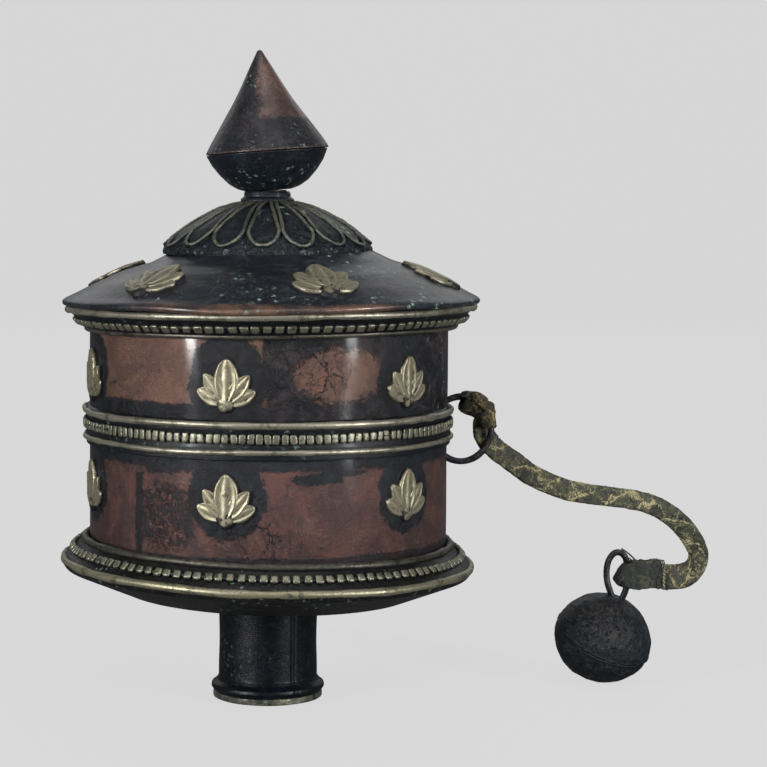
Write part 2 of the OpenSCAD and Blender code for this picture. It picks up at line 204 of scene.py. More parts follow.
def turned_wire(ring_radius, z, wire_radius, seed, steps=480, sides=14, uneven=0.05, out=(1, 0)):
    """A hand-laid ring of wire: (verts, faces, raised). raised falls off towards the metal behind it."""
    r = random.Random(seed)
    thick = waves(seed, uneven * wire_radius, 40, 16, 0)
    lie = waves(seed + 1, 0.05, 9, 10, 0)
    angle = (np.arange(steps) * math.tau / steps)[:, None]
    around = (np.arange(sides) * math.tau / sides)[None, :]
    w = wire_radius + thick(angle, 0)
    rr = ring_radius + w * np.cos(around)
    zz = z + lie(angle, 0) + w * np.sin(around)
    verts = np.stack([rr * np.cos(angle), rr * np.sin(angle), zz], -1).reshape(-1, 3)
    # raised paints the wire: its out side rubbed bright and given a painted highlight, the side towards the metal
    # behind it given painted shade with its tarnish
    facing = np.cos(around) * out[0] + np.sin(around) * out[1]
    raised = np.clip(0.5 + 0.65 * facing, 0, 1) + 0 * angle
    return verts, grid_faces(steps, sides, True, True), raised.ravel()


def tube(points, radius, sides=12, closed=False, seed=0, uneven=0.0):
    """(verts, faces, raised) of a round wire or thread along points."""
    pts = [Vector(p) for p in points]
    n = len(pts)
    tangents = []
    for i in range(n):
        a = pts[(i - 1) % n] if closed or i else pts[i]
        b = pts[(i + 1) % n] if closed or i < n - 1 else pts[i]
        tangents.append((b - a).normalized())
    side = tangents[0].orthogonal().normalized()
    verts = []
    r = random.Random(seed)
    for i, (p, t) in enumerate(zip(pts, tangents)):
        side = (side - t * side.dot(t)).normalized()
        up = t.cross(side)
        w = (radius[i] if hasattr(radius, "__len__") else radius) * (1 + r.uniform(-uneven, uneven))
        for k in range(sides):
            a = math.tau * k / sides
            verts.append(p + (side * math.cos(a) + up * math.sin(a)) * w)
    faces = grid_faces(n, sides, closed, True)
    faces = [tuple(reversed(f)) for f in faces]
    if not closed:
        faces.append(tuple(range(sides))[::-1])
        faces.append(tuple(range((n - 1) * sides, n * sides)))
    return [list(v) for v in verts], faces, [1.0] * len(verts)


def smooth_route(points, per_span):
    """Catmull-Rom through rows of numbers, so a route and its turn are eased together."""
    p = np.asarray(points, float)
    p = np.vstack([2 * p[0] - p[1], p, 2 * p[-1] - p[-2]])
    out = []
    for i in range(1, len(p) - 2):
        a, b, c, d = p[i - 1], p[i], p[i + 1], p[i + 2]
        for k in range(per_span):
            t = k / per_span
            out.append(0.5 * (2 * b + (c - a) * t + (2 * a - 5 * b + 4 * c - d) * t * t
                              + (3 * b - a - 3 * c + d) * t ** 3))
    out.append(p[-2])
    return np.array(out)


def ribbon(route, wide, thick, turn, lean=(0, -1, 0), sides=44, seed=1, crumple=0.16, edge=0.05, cut=0.0):
    """A strap of hide along route, its flat side turned about the route: (verts, faces, raised, uv, centres).
    crumple is how far its surface is creased, edge how ragged its sides are, cut how slanted its start is."""
    n = len(route)
    pts = np.asarray(route, float)
    step = np.gradient(pts, axis=0)
    step /= np.linalg.norm(step, axis=1)[:, None]
    along = np.concatenate([[0], np.cumsum(np.linalg.norm(np.diff(pts, axis=0), axis=1))])
    verts, raised, uv = [], [], []
    for i in range(n):
        t = Vector(step[i])
        w = t.cross(Vector(lean))
        w.normalize()
        m = w.cross(t)
        a = math.radians(turn[i])
        f, g = w * math.cos(a) + m * math.sin(a), m * math.cos(a) - w * math.sin(a)
        s = along[i]
        half = wide[i] if hasattr(wide, "__len__") else wide
        body = thick[i] if hasattr(thick, "__len__") else thick
        for k in range(sides):
            q = math.tau * (k + 0.5) / sides
            c, d = math.cos(q), math.sin(q)
            x = math.copysign(abs(c) ** 0.55, c)
            y = math.copysign(abs(d) ** 0.8, d)
            rim = 1 + edge * noise.noise((s * 0.55, 3.1 * seed, math.copysign(7, c))) \
                + edge * 0.7 * noise.noise((s * 1.7, 5.3 * seed, math.copysign(3, c)))
            crease = noise.noise((s * 0.9 + x * 0.7, x * 1.2, seed + math.copysign(5, d))) \
                + 0.5 * noise.noise((s * 2.3 - x * 0.9, x * 2.1, seed + 9 + math.copysign(5, d)))
            fold = -abs(noise.noise((s * 1.1 - x * 1.3, x * 0.8, seed + 21))) ** 0.6
            wrinkle = crumple * crease + crumple * 0.9 * (fold + 0.45)
            h = y * body / 2 + math.copysign(1, d) * abs(d) ** 0.5 * wrinkle
            curl = 0.10 * x * x * (1 if seed % 2 else -1)
            shift = cut * x * max(0, 1 - s / 2.5) if cut else 0
            centre = Vector(pts[i]) + t * shift
            verts.append(centre + f * (x * half / 2 * rim) + g * (h + curl))
            raised.append(0.5 + 0.5 * crease + 0.4 * (fold + 0.5))
            uv.append((s / 10, (x + 1) / 2 if d > 0 else 2 + (x + 1) / 2))
    faces = [tuple(reversed(face)) for face in grid_faces(n, sides, False, True)]
    first, last = Vector(pts[0]), Vector(pts[-1])
    verts += [first, last]
    raised += [0.3, 0.3]
    uv += [(0, 0.5), (along[-1] / 10, 0.5)]
    a, b = len(verts) - 2, len(verts) - 1
    for k in range(sides):
        j = (k + 1) % sides
        faces.append((a, j, k))
        faces.append((b, (n - 1) * sides + k, (n - 1) * sides + j))
    return [list(v) for v in verts], faces, raised, uv, pts


# ---------------------------------------------------------------- materials
class Value:
    """A shader socket that is worked with like a number."""

    def __init__(self, graph, socket):
        self.g, self.s = graph, socket

    def _do(self, op, other=0.0, swap=False):
        a, b = (other, self) if swap else (self, other)
        return self.g.calc(op, a, b)

    def __add__(self, o): return self._do("ADD", o)
    def __radd__(self, o): return self._do("ADD", o)
    def __sub__(self, o): return self._do("SUBTRACT", o)
    def __rsub__(self, o): return self._do("SUBTRACT", o, True)
    def __mul__(self, o): return self._do("MULTIPLY", o)
    def __rmul__(self, o): return self._do("MULTIPLY", o)
    def __truediv__(self, o): return self._do("DIVIDE", o)
    def __neg__(self): return self._do("MULTIPLY", -1.0)
    def power(self, o): return self._do("POWER", o)
    def least(self, o): return self._do("MINIMUM", o)
    def most(self, o): return self._do("MAXIMUM", o)
    def size(self): return self.g.calc("ABSOLUTE", self)

    def step(self, start, end, low=0.0, high=1.0):
        """Eased from low at start to high at end; start may be above end."""
        node = self.g.new("ShaderNodeMapRange")
        node.interpolation_type = "SMOOTHSTEP"
        if start > end:
            start, end, low, high = end, start, high, low
        ends = (("From Min", start), ("From Max", end), ("To Min", low), ("To Max", high))
        for key, value in (("Value", self), *ends):
            self.g.put(node.inputs[key], value)
        return Value(self.g, node.outputs["Result"])


class Graph:
    """A material's node tree with short calls for what the pieces share."""

    def __init__(self, name):
        self.material = bpy.data.materials.new(name)
        self.material.use_nodes = True
        self.tree = self.material.node_tree
        self.tree.nodes.clear()
        self.shader = self.new("ShaderNodeBsdfPrincipled")
        out = self.new("ShaderNodeOutputMaterial")
        self.tree.links.new(self.shader.outputs[0], out.inputs["Surface"])
        place = self.new("ShaderNodeTexCoord").outputs["Object"]
        self.place = self.scaled(place, 1000.0)
        split = self.new("ShaderNodeSeparateXYZ")
        self.put(split.inputs[0], self.place)
        self.x, self.y, self.z = (Value(self, split.outputs[k]) for k in range(3))

    def new(self, kind):
        return self.tree.nodes.new(kind)

    def put(self, socket, value):
        if isinstance(value, Value):
            self.tree.links.new(value.s, socket)
        elif isinstance(value, bpy.types.NodeSocket):
            self.tree.links.new(value, socket)
        elif socket.type == "RGBA":
            socket.default_value = (*value[:3], 1.0)
        else:
            socket.default_value = value

    def calc(self, op, a, b=0.0):
        node = self.new("ShaderNodeMath")
        node.operation = op
        self.put(node.inputs[0], a)
        self.put(node.inputs[1], b)
        return Value(self, node.outputs[0])

    def scaled(self, vector, amount):
        node = self.new("ShaderNodeMapping")
        self.put(node.inputs["Vector"], vector)
        node.inputs["Scale"].default_value = amount if hasattr(amount, "__len__") else (amount,) * 3
        return node.outputs[0]

    def moved(self, vector, amount):
        node = self.new("ShaderNodeMapping")
        self.put(node.inputs["Vector"], vector)
        node.inputs["Location"].default_value = amount
        return node.outputs[0]

    def noise(self, scale, detail=4.0, rough=0.55, twist=0.0, seed=0.0, at=None):
        node = self.new("ShaderNodeTexNoise")
        self.put(node.inputs["Vector"], self.moved(at or self.place, (seed * 7.3, seed * -3.1, seed * 5.7)))
        settings = (("Scale", scale), ("Detail", detail), ("Roughness", rough), ("Distortion", twist))
        for key, value in settings:
            node.inputs[key].default_value = value
        return Value(self, node.outputs[0])

    def cells(self, scale, seed, at=None, edge=False):
        node = self.new("ShaderNodeTexVoronoi")
        node.feature = "DISTANCE_TO_EDGE" if edge else "F1"
        self.put(node.inputs["Vector"], self.moved(at or self.place, (seed * 3.7, seed * 9.1, seed * -4.3)))
        node.inputs["Scale"].default_value = scale
        return Value(self, node.outputs["Distance"])

    def warped(self, scale, amount, seed=0.0):
        """The place moved about by a noise, amount in millimetres."""
        node = self.new("ShaderNodeTexNoise")
        self.put(node.inputs["Vector"], self.moved(self.place, (seed * 2.3, seed * 4.1, seed * -6.7)))
        for key, value in (("Scale", scale), ("Detail", 4.0), ("Roughness", 0.6)):
            node.inputs[key].default_value = value
        shift = self.new("ShaderNodeVectorMath")
        shift.operation = "SUBTRACT"
        self.put(shift.inputs[0], node.outputs["Color"])
        shift.inputs[1].default_value = (0.5, 0.5, 0.5)
        sized = self.new("ShaderNodeVectorMath")
        sized.operation = "SCALE"
        self.put(sized.inputs[0], shift.outputs[0])
        sized.inputs["Scale"].default_value = amount
        total = self.new("ShaderNodeVectorMath")
        self.put(total.inputs[0], self.place)
        self.put(total.inputs[1], sized.outputs[0])
        return total.outputs[0]

    def attribute(self):
        """The mesh's own value: 0 in a hollow, 1 on a high place; white metal paints it as wear and as painted
        shade and highlight.
        """
        node = self.new("ShaderNodeAttribute")
        node.attribute_name = "raised"
        return Value(self, node.outputs["Fac"])

    def along(self):
        """The strap's own coordinates, in millimetres along it and across it."""
        node = self.new("ShaderNodeUVMap")
        node.uv_map = "along"
        return self.scaled(node.outputs[0], (10.0, 4.0, 1.0))

    def angle(self):
        """Degrees round the spindle, 0 at the front and + towards +X."""
        return self.calc("ARCTAN2", self.x, -self.y) * (180 / math.pi)

    def mix(self, a, b, share):
        node = self.new("ShaderNodeMix")
        node.data_type = "RGBA"
        node.clamp_factor = True
        self.put(node.inputs["Factor"], share)
        self.put(node.inputs[6], a)
        self.put(node.inputs[7], b)
        return node.outputs[2]

    def bump(self, height, depth):
        """depth is the relief in millimetres for a height of 1; each call adds to the ones before it."""
        node = self.new("ShaderNodeBump")
        node.inputs["Distance"].default_value = depth * MM
        self.put(node.inputs["Height"], height)
        if self.shader.inputs["Normal"].is_linked:
            self.tree.links.new(self.shader.inputs["Normal"].links[0].from_socket, node.inputs["Normal"])
        self.tree.links.new(node.outputs[0], self.shader.inputs["Normal"])

    def finish(self, colour, metal, rough, specular=0.5):
        self.put(self.shader.inputs["Base Color"], colour)
        self.put(self.shader.inputs["Metallic"], metal)
        self.put(self.shader.inputs["Roughness"], rough)
        self.put(self.shader.inputs["Specular IOR Level"], specular)
        return self.material


def srgb(r, g, b):
    """A colour from 0-255 display values."""
    def one(c):
        c /= 255
        return c / 12.92 if c <= 0.04045 else ((c + 0.055) / 1.055) ** 2.4
    return one(r), one(g), one(b)


def patina(name, worn, brown, dark, cover=0.5, spread=0.08, scale=0.09, seed=1.0, rough=(0.3, 0.5),
           metal=0.5, green=0.0, extra_dark=None, fleck_colour=srgb(118, 142, 128), relief=0.10,
           coat=0.15, ash=None, fleck_size=1.0, shine=0.4, fleck_where=None):
    """Old copper: worn metal, brown patina and a near-black crust, with flecks of verdigris.
    cover is how much of it is crusted, and extra_dark(graph, noises) adds crust in places of its own."""
    g = Graph(name)
    broad = g.noise(scale, 6, 0.62, 0.6, seed)
    cloud = g.noise(scale * 3.1, 7, 0.70, 0.6, seed + 1)
    fine = g.noise(scale * 14, 6, 0.72, 0.3, seed + 2)
    grain = g.noise(3.6, 5, 0.75, 0.1, seed + 8)
    crust = broad * 0.58 + cloud * 0.28 + fine * 0.14
    mask = crust.step(1 - cover - spread * 0.5 - 0.02, 1 - cover + spread * 0.5)
    if extra_dark:
        mask = (mask + extra_dark(g, broad, cloud, fine)).most(0.0).least(1.0)
    tone = g.noise(scale * 2.2, 5, 0.6, 0.8, seed + 3)
    rubbed = g.noise(scale * 5.5, 6, 0.72, 1.2, seed + 4)
    colour = g.mix(worn, brown, tone.step(0.38, 0.6))
    colour = g.mix(colour, dark, grain.step(0.50, 0.66) * 0.45)
    ashen = (cloud * 0.45 + fine * 0.35 + grain * 0.2).step(0.48, 0.62) * 0.8
    under = dark if ash is None else g.mix(dark, ash, ashen)
    colour = g.mix(colour, under, mask * 0.95)
    colour = g.mix(colour, worn, rubbed.step(0.62, 0.74) * (1 - mask * 0.8) * 0.5)
    spots = g.cells(0.62 / fleck_size, seed)
    where = g.noise(0.13, 4, 0.6, 0.3, seed + 5)
    if fleck_where:
        where = where + fleck_where(g)
    tiny = g.noise(2.2 / fleck_size, 5, 0.75, 0, seed + 6)
    ragged = (tiny - 0.5) * 1.1 + (grain - 0.5) * 0.9
    fleck = (0.62 - spots + ragged).step(0.38, 0.46) * where.step(0.50, 0.60) * green
    fleck = fleck + (tiny * 0.7 + grain * 0.3).step(0.58, 0.62) * where.step(0.42, 0.56) * green * 0.8
    fleck = fleck.least(1.0)
    colour = g.mix(colour, g.mix(fleck_colour, ash or dark, grain.step(0.45, 0.7) * 0.5), fleck)
    scratch_at = g.scaled(g.place, (0.35, 0.35, 5.0))
    hair = g.noise(1.1, 4, 0.75, 0.2, seed + 7, scratch_at)
    gloss = cloud * 0.4 + fine * 0.4 + grain * 0.2
    roughness = gloss.step(0.36, 0.64, rough[0], rough[1]) + fleck * 0.35
    g.bump(broad * 0.6 + cloud * 0.4, relief * 3)
    g.bump(cloud * 0.3 + fine * 0.45 + grain * 0.25 + mask * 0.35 + fleck * 0.6, relief)
    g.bump(hair, relief * 0.25)
    g.put(g.shader.inputs["Coat Weight"], coat - mask * coat * 0.5)
    g.shader.inputs["Coat Roughness"].default_value = 0.16
    return g.finish(colour, (1 - fleck) * metal * (1 - mask * 0.75), roughness.least(0.95),
                    shine - mask * shine * 0.45)


def white_metal(name, bright, shade, dirt_and_shade, bright_share, seed, green=0.0, grime=0.5):
    """Applied white metal, rubbed bright on top and black with tarnish in its hollows; the raised value
    also paints a highlight on the tops and shade in the hollows. grime is its share of dull places."""
    g = Graph(name)
    up = g.attribute()
    broad = g.noise(0.16, 5, 0.62, 0.7, seed)
    cloud = g.noise(0.9, 6, 0.7, 0.4, seed + 1)
    fine = g.noise(4.0, 5, 0.7, 0.1, seed + 2)
    rubbed_and_lit = (up * 1.05 + (cloud - 0.5) * 0.9 + (broad - 0.5) * 1.2 + (fine - 0.5) * 0.5).step(
        0.95 - bright_share, 1.40 - bright_share)
    dull = (broad * 0.6 + cloud * 0.4 + (fine - 0.5) * 0.25).step(0.62 - 0.2 * grime, 0.68 - 0.2 * grime)
    colour = g.mix(bright, shade, dull.most(fine.step(0.50, 0.68) * 0.7))
    # painted shade and tarnish: low raised places take the dirt-and-shade colour
    colour = g.mix(dirt_and_shade, colour, rubbed_and_lit)
    colour = g.mix(colour, dirt_and_shade, (cloud * 0.5 + fine * 0.5).step(0.56, 0.66) * 0.7)
    # painted highlight on the highest tops
    colour = g.mix(colour, bright, up.step(0.86, 1.0) * broad.step(0.46, 0.34) * 0.4)
    fleck = cloud.step(0.60, 0.66) * broad.step(0.46, 0.56) * green
    colour = g.mix(colour, srgb(92, 112, 98), fleck)
    g.bump(cloud * 0.4 + fine * 0.6, 0.06)
    return g.finish(colour, 0.25 + rubbed_and_lit * 0.5, fine.step(0.3, 0.7, 0.3, 0.48) + (1 - rubbed_and_lit) * 0.2, 0.4)


def copper_drum():
    """The drum's shell: copper in patches between black crust, a halo round each ornament, cracks and
    rubbed streaks."""
    g = Graph("copper_drum")
    angle = g.angle()
    broad = g.noise(0.085, 6, 0.62, 0.7, 3)
    cloud = g.noise(0.30, 7, 0.72, 0.8, 4)
    fine = g.noise(1.3, 6, 0.75, 0.4, 5)
    grain = g.noise(5.0, 4, 0.7, 0.1, 6)
    warp = (broad - 0.5) * 6.0 + (cloud - 0.5) * 7.0 + (fine - 0.5) * 3.6
    torn = g.noise(0.55, 6, 0.75, 1.6, 13)
    ragged = (torn - 0.5) * 1.3
    arc = math.pi / 180 * drum_r

    def patch(turn, level, half_w, half_h, fray=0.06):
        """1 inside an uneven round patch at so many degrees and that height."""
        dx, dz = (angle - turn) * (arc / half_w), (g.z - level) * (1 / half_h)
        return (g.calc("SQRT", dx * dx + dz * dz) + warp * fray + ragged).step(1.05, 0.95)

    def span(value, start, end, fray=1.0, soft=0.5):
        """1 where value is between start and end."""
        v = value + warp * fray
        return v.step(start - soft, start + soft) * v.step(end + soft, end - soft)

    half_step = ornament_step / 2
    wrapped = g.calc("MODULO", angle + (360.0 - ornament_turn + half_step), ornament_step) - half_step
    across = wrapped * arc
    halo = None
    for row, reach_w, reach_h in ((upper_row_z + 0.3, 7.0, 8.2), (lower_row_z + 0.2, 6.9, 7.4)):
        dx, dz = across * (1 / reach_w), (g.z - row) * (1 / reach_h)
        one = (g.calc("SQRT", dx * dx + dz * dz) + warp * 0.05 + ragged * 0.35).step(1.03, 0.95)
        halo = one if halo is None else halo.most(one)
    upper = (g.z - band_z).step(3.0, 5.0)
    lower = 1 - upper
    # along the wires, under the lid and on the base
    edges = ((g.z - (shell_top - 5.2)) + warp * 0.35).step(-0.5, 0.3) * 0.9
    edges = edges.most(((g.z - band_z + 1.8) + warp * 0.30).step(-0.3, 0.3) * lower)
    edges = edges.most((band_z + 9.6 - g.z + warp * 0.28).step(-0.2, 0.4) * upper)
    edges = edges.most(((g.z - (shell_z + 6.0)) + warp * 0.16).step(0.5, 0.0) * 0.85)
    # the upper panel right of the front ornament is crusted but for one island of copper
    island = patch(25.0, band_z + 14.4, 8.8, 4.5, 0.10)
    right = span(angle, 0.5, 88.0, 1.2, 1.2) * upper
    crust = halo.most(edges).most(right * (1 - island * 0.92))
    # the lower panel: a bar and a mottled place on the left, a branch and a strip on the right
    row = lower_row_z
    bar = span(angle + ragged * 3.0, -42.2, -39.2, 0.25, 0.3) * (g.z - row + warp * 0.5).step(4.5, 3.0)
    mottle = patch(-30.5, row - 3.6, 6.2, 6.0, 0.05) * (cloud * 0.45 + fine * 0.55).step(0.46, 0.51)
    branch = patch(17.5, row + 3.2, 5.0, 1.0, 0.20).most(patch(25.0, row + 4.2, 4.4, 0.6, 0.22))
    strip = ((g.z - (lower_row_z + 5.2)) + warp * 0.35).step(-0.4, 0.4) * span(angle, 2.0, 60.0, 0.4, 1.0)
    corner = patch(-30.0, lower_row_z + 6.4, 6.5, 2.6, 0.08)
    crust = crust.most(bar * 0.95 * lower).most(mottle * 0.9 * lower).most(branch * lower).most(strip * lower)
    crust = crust.most(corner * 0.9 * lower)
    behind = (angle.size() * 0.02 + broad * 1.1 + cloud * 0.45).step(2.42, 2.52)
    crust = crust.most(behind * 0.95)
    pocks = (cloud * 0.55 + fine * 0.45).step(0.585, 0.615)
    crust = crust.most(pocks * 0.75)
    # black cracks where the crust has lifted
    cell = g.cells(0.20, 5, g.warped(0.35, 4.5, 2.0), edge=True)
    small = g.cells(0.55, 8, g.warped(0.8, 1.8, 5.0), edge=True)
    crazed = (right * patch(13.0, band_z + 16.0, 8.0, 7.0, 0.06)).most(
        patch(0.0, lower_row_z - 7.4, 7.5, 3.2, 0.08) * lower)
    thin = (small + (fine - 0.5) * 0.05).step(0.03, 0.01) * 0.8
    vein = (cell + (fine - 0.5) * 0.04).step(0.035, 0.012).most(thin) * crazed
    crust = (crust - grain.step(0.60, 0.70) * cloud.step(0.52, 0.6) * 0.35).most(0.0).least(1.0)
    worn = g.mix(srgb(92, 66, 53), srgb(74, 47, 41), lower)
    brown = g.mix(srgb(76, 54, 46), srgb(54, 37, 35), lower)
    tone = g.noise(0.16, 5, 0.6, 0.9, 7)
    colour = g.mix(worn, brown, (tone + (fine - 0.5) * 0.30).step(0.38, 0.60))
    colour = g.mix(colour, srgb(56, 44, 44), (fine * 0.6 + grain * 0.4).step(0.52, 0.62) * 0.5)
    ash = g.noise(0.35, 6, 0.7, 0.8, 9)
    colour = g.mix(colour, srgb(104, 92, 78), ash.step(0.56, 0.70) * 0.22)
    dark = g.mix(srgb(4, 8, 14), srgb(17, 24, 31), (cloud * 0.5 + ash * 0.5).step(0.46, 0.6))
    dusky = right * (broad * 0.5 + ash * 0.5 + (fine - 0.5) * 0.2).step(0.48, 0.56) * (1 - halo)
    dark = g.mix(dark, srgb(46, 36, 38), dusky * 0.7)
    colour = g.mix(colour, dark, crust * 0.97)
    colour = g.mix(colour, srgb(7, 8, 12), vein * 0.9)
    far_right = right * ((angle - 44.0) * 0.10 + warp * 0.12).step(-0.4, 1.2)
    specks = grain.step(0.64, 0.70) * cloud.step(0.42, 0.56)
    patchy = (fine * 0.55 + cloud * 0.45).step(0.57, 0.62)
    streak = g.noise(1.0, 5, 0.75, 0.2, 11, g.scaled(g.place, (1.6, 1.6, 0.30)))
    fleck = specks * (0.25 + right * 0.55 + edges * 0.3) + patchy * far_right * 0.6
    fleck = (fleck + streak.step(0.62, 0.70) * far_right * 0.6).least(1.0)
    colour = g.mix(colour, srgb(128, 144, 136), fleck * 0.85)
    hair = g.noise(1.2, 5, 0.75, 0.3, 10, g.scaled(g.place, (0.3, 0.3, 4.2)))
    nicks = g.noise(0.9, 5, 0.8, 1.4, 12, g.scaled(g.place, (2.2, 2.2, 1.0)))
    gloss = cloud * 0.45 + fine * 0.35 + hair * 0.2
    roughness = gloss.step(0.36, 0.64, 0.28, 0.46) + fleck * 0.4
    g.bump(broad * 0.5 + cloud * 0.5, 0.5)
    g.bump(cloud * 0.25 + fine * 0.45 + grain * 0.2 + crust * 0.4 + fleck * 0.4 - vein * 0.8, 0.09)
    swell = ((g.z - band_z).size() - 13.0) * 0.1
    g.bump(1 - swell * swell, 0.8)
    g.bump(hair * 0.5 + nicks, 0.12)
    g.put(g.shader.inputs["Coat Weight"], 0.45 - crust * 0.25)
    g.shader.inputs["Coat Roughness"].default_value = 0.12
    return g.finish(colour, (1 - fleck) * (0.40 - crust * 0.32), roughness.least(0.95), 0.35 - crust * 0.15)


def rawhide(name, pale, olive, charcoal, seed, cracks=1.0, bareness=0.8, hairs=1.0):
    """Old rawhide: a charcoal skin in plates, split crosswise down to the cream hide."""
    g = Graph(name)
    at = g.along()
    up = g.attribute()
    split = g.new("ShaderNodeSeparateXYZ")
    g.put(split.inputs[0], at)
    length, across = Value(g, split.outputs[0]), Value(g, split.outputs[1])
    across = g.calc("MODULO", across, 8.0) - 2.0
    edge = across.size()
    broad = g.noise(0.17, 5, 0.62, 0.8, seed, at)
    cloud = g.noise(0.75, 6, 0.72, 1.0, seed + 1)
    fine = g.noise(3.6, 6, 0.75, 0.4, seed + 2)
    grain = g.noise(9.0, 4, 0.7, 0.2, seed + 5)
    wander = (g.noise(0.42, 4, 0.6, 0.6, seed + 4, at) - 0.5) * 8.0
    first = (g.calc("MODULO", length + across * 1.2 + wander + 560.0, 6.4) - 3.2).size()
    second = (g.calc("MODULO", length - across * 0.9 - wander * 0.8 + 563.0, 4.3) - 2.15).size()
    line = (first + (fine - 0.5)).step(0.62, 0.22) * (cloud * 0.6 + broad * 0.4).step(0.42, 0.48) * cracks
    hair = (second + (fine - 0.5) * 0.7).step(0.26, 0.06) * (1 - broad).step(0.46, 0.54) * hairs
    bare = (broad * 0.55 + cloud * 0.45 + (fine - 0.5) * 0.35).step(0.55, 0.62) * bareness
    worn = (edge + (cloud - 0.5) * 1.8).step(1.7, 2.1) * broad.step(0.46, 0.54) * 0.65
    colour = g.mix(charcoal, olive, (cloud * 0.5 + broad * 0.2 + fine * 0.3).step(0.45, 0.58))
    shown = (line * 0.85).most(hair * 0.6).most(bare * fine.step(0.34, 0.58)).most(worn)
    colour = g.mix(colour, pale, shown)
    colour = g.mix(colour, srgb(20, 20, 16), (cloud * 0.4 + fine * 0.6).step(0.44, 0.38) * 0.8)
    rim = (edge + (cloud - 0.5) * 0.6).step(1.55, 2.0) * (1 - worn) * 0.55
    colour = g.mix(colour, srgb(18, 18, 14), rim)
    colour = g.mix(colour, charcoal, grain.step(0.55, 0.7) * 0.5)
    height = cloud * 0.4 + fine * 0.3 - line * 0.55 - hair * 0.3 + up * 0.2 - bare * 0.2
    g.bump(height, 0.30)
    g.bump(grain, 0.06)
    return g.finish(colour, 0.0, (cloud.step(0.4, 0.6, 0.48, 0.75) + bare * 0.1).least(0.95), 0.3)


def weight_skin():
    """The weight: a dark cast skin, pitted, grey or brown where it is rubbed."""
    g = Graph("weight_skin")
    broad = g.noise(0.13, 5, 0.6, 0.5, 31)
    cloud = g.noise(0.55, 7, 0.72, 0.7, 32)
    fine = g.noise(2.3, 6, 0.78, 0.4, 33)
    grain = g.noise(6.0, 4, 0.7, 0.1, 36)
    pits = g.cells(0.9, 34, g.warped(1.2, 0.9, 3.0))
    small = g.cells(2.4, 35)
    hole = (pits + (fine - 0.5) * 0.45).step(0.36, 0.18) * (cloud * 0.6 + broad * 0.4).step(0.44, 0.54)
    nick = (small + (fine - 0.5) * 0.3).step(0.30, 0.10) * broad.step(0.40, 0.56)
    rub = cloud * 0.45 + fine * 0.4 + broad * 0.15
    colour = g.mix(srgb(12, 16, 21), srgb(30, 35, 40), (cloud * 0.5 + fine * 0.5).step(0.44, 0.60))
    colour = g.mix(colour, srgb(66, 76, 80), rub.step(0.52, 0.60) * (1 - broad).step(0.42, 0.60) * 0.8)
    colour = g.mix(colour, srgb(66, 56, 46), rub.step(0.52, 0.60) * broad.step(0.46, 0.60) * 0.8)
    specks = (fine * 0.6 + grain * 0.4).step(0.62, 0.67) * broad.step(0.48, 0.56) * 0.7
    colour = g.mix(colour, srgb(128, 112, 90), specks)
    colour = g.mix(colour, srgb(8, 9, 14), hole.most(nick * 0.8) * 0.9)
    g.bump(cloud * 0.5 + broad * 0.5, 0.35)
    g.bump(fine * 0.4 + grain * 0.12 - hole - nick * 0.5, 0.28)
    return g.finish(colour, 0.25 - hole * 0.2, fine.step(0.35, 0.65, 0.36, 0.56) + hole * 0.2, 0.28)


def plain_metal(name, bright, dark, seed, rough=(0.28, 0.42), metal=0.9, share=0.5):
    """Iron, brass and lead inside: two tones, turning marks and fine scratches."""
    g = Graph(name)
    cloud = g.noise(0.5, 6, 0.68, 0.5, seed)
    fine = g.noise(3.2, 5, 0.7, 0.2, seed + 1)
    marks = g.noise(1.5, 4, 0.7, 0.1, seed + 2, g.scaled(g.place, (0.25, 0.25, 7.0)))
    colour = g.mix(bright, dark, (cloud * 0.6 + fine * 0.4).step(share - 0.08, share + 0.12))
    colour = g.mix(colour, dark, marks.step(0.55, 0.7) * 0.5)
    g.bump(fine * 0.5 + cloud * 0.5, 0.05)
    g.bump(marks, 0.03)
    return g.finish(colour, metal, (cloud * 0.5 + marks * 0.5).step(0.35, 0.65, rough[0], rough[1]))


def wood_skin():
    """The scroll's wooden core: grain along the spindle with rings on its ends."""
    g = Graph("wood_grain")
    stretched = g.scaled(g.place, (1.0, 1.0, 0.09))
    rings = g.noise(0.75, 5, 0.6, 1.6, 51, stretched)
    pores = g.noise(6.0, 4, 0.7, 0.1, 52, g.scaled(g.place, (1.0, 1.0, 0.12)))
    ring_share = (rings * 6.0 - g.calc("FLOOR", rings * 6.0)).step(0.2, 0.8)
    colour = g.mix(srgb(150, 112, 66), srgb(104, 70, 40), ring_share)
    colour = g.mix(colour, srgb(70, 46, 26), pores.step(0.6, 0.7) * 0.6)
    g.bump(rings * 0.5 + pores * 0.5, 0.08)
    return g.finish(colour, 0.0, pores.step(0.3, 0.7, 0.55, 0.75), 0.3)


def paper_skin():
    """The rolled paper: thin layers on its ends, smoke-yellowed."""
    g = Graph("paper_layers")
    radius = g.calc("SQRT", g.x.power(2.0) + g.y.power(2.0))
    turns = radius * 3.2 + g.angle() / 360.0 + g.noise(0.25, 4, 0.6, 0.3, 61) * 1.2
    gap = (turns - g.calc("FLOOR", turns) - 0.5).size().step(0.34, 0.5)
    cloud = g.noise(0.12, 6, 0.65, 0.5, 62)
    fibre = g.noise(2.2, 6, 0.75, 0.2, 63)
    colour = g.mix(srgb(206, 186, 140), srgb(158, 128, 82), cloud.step(0.40, 0.64))
    colour = g.mix(colour, srgb(96, 74, 46), gap * 0.7)
    colour = g.mix(colour, srgb(122, 98, 64), fibre.step(0.58, 0.72) * 0.4)
    g.bump(fibre * 0.5 - gap * 0.8, 0.12)
    return g.finish(colour, 0.0, 0.88, 0.2)


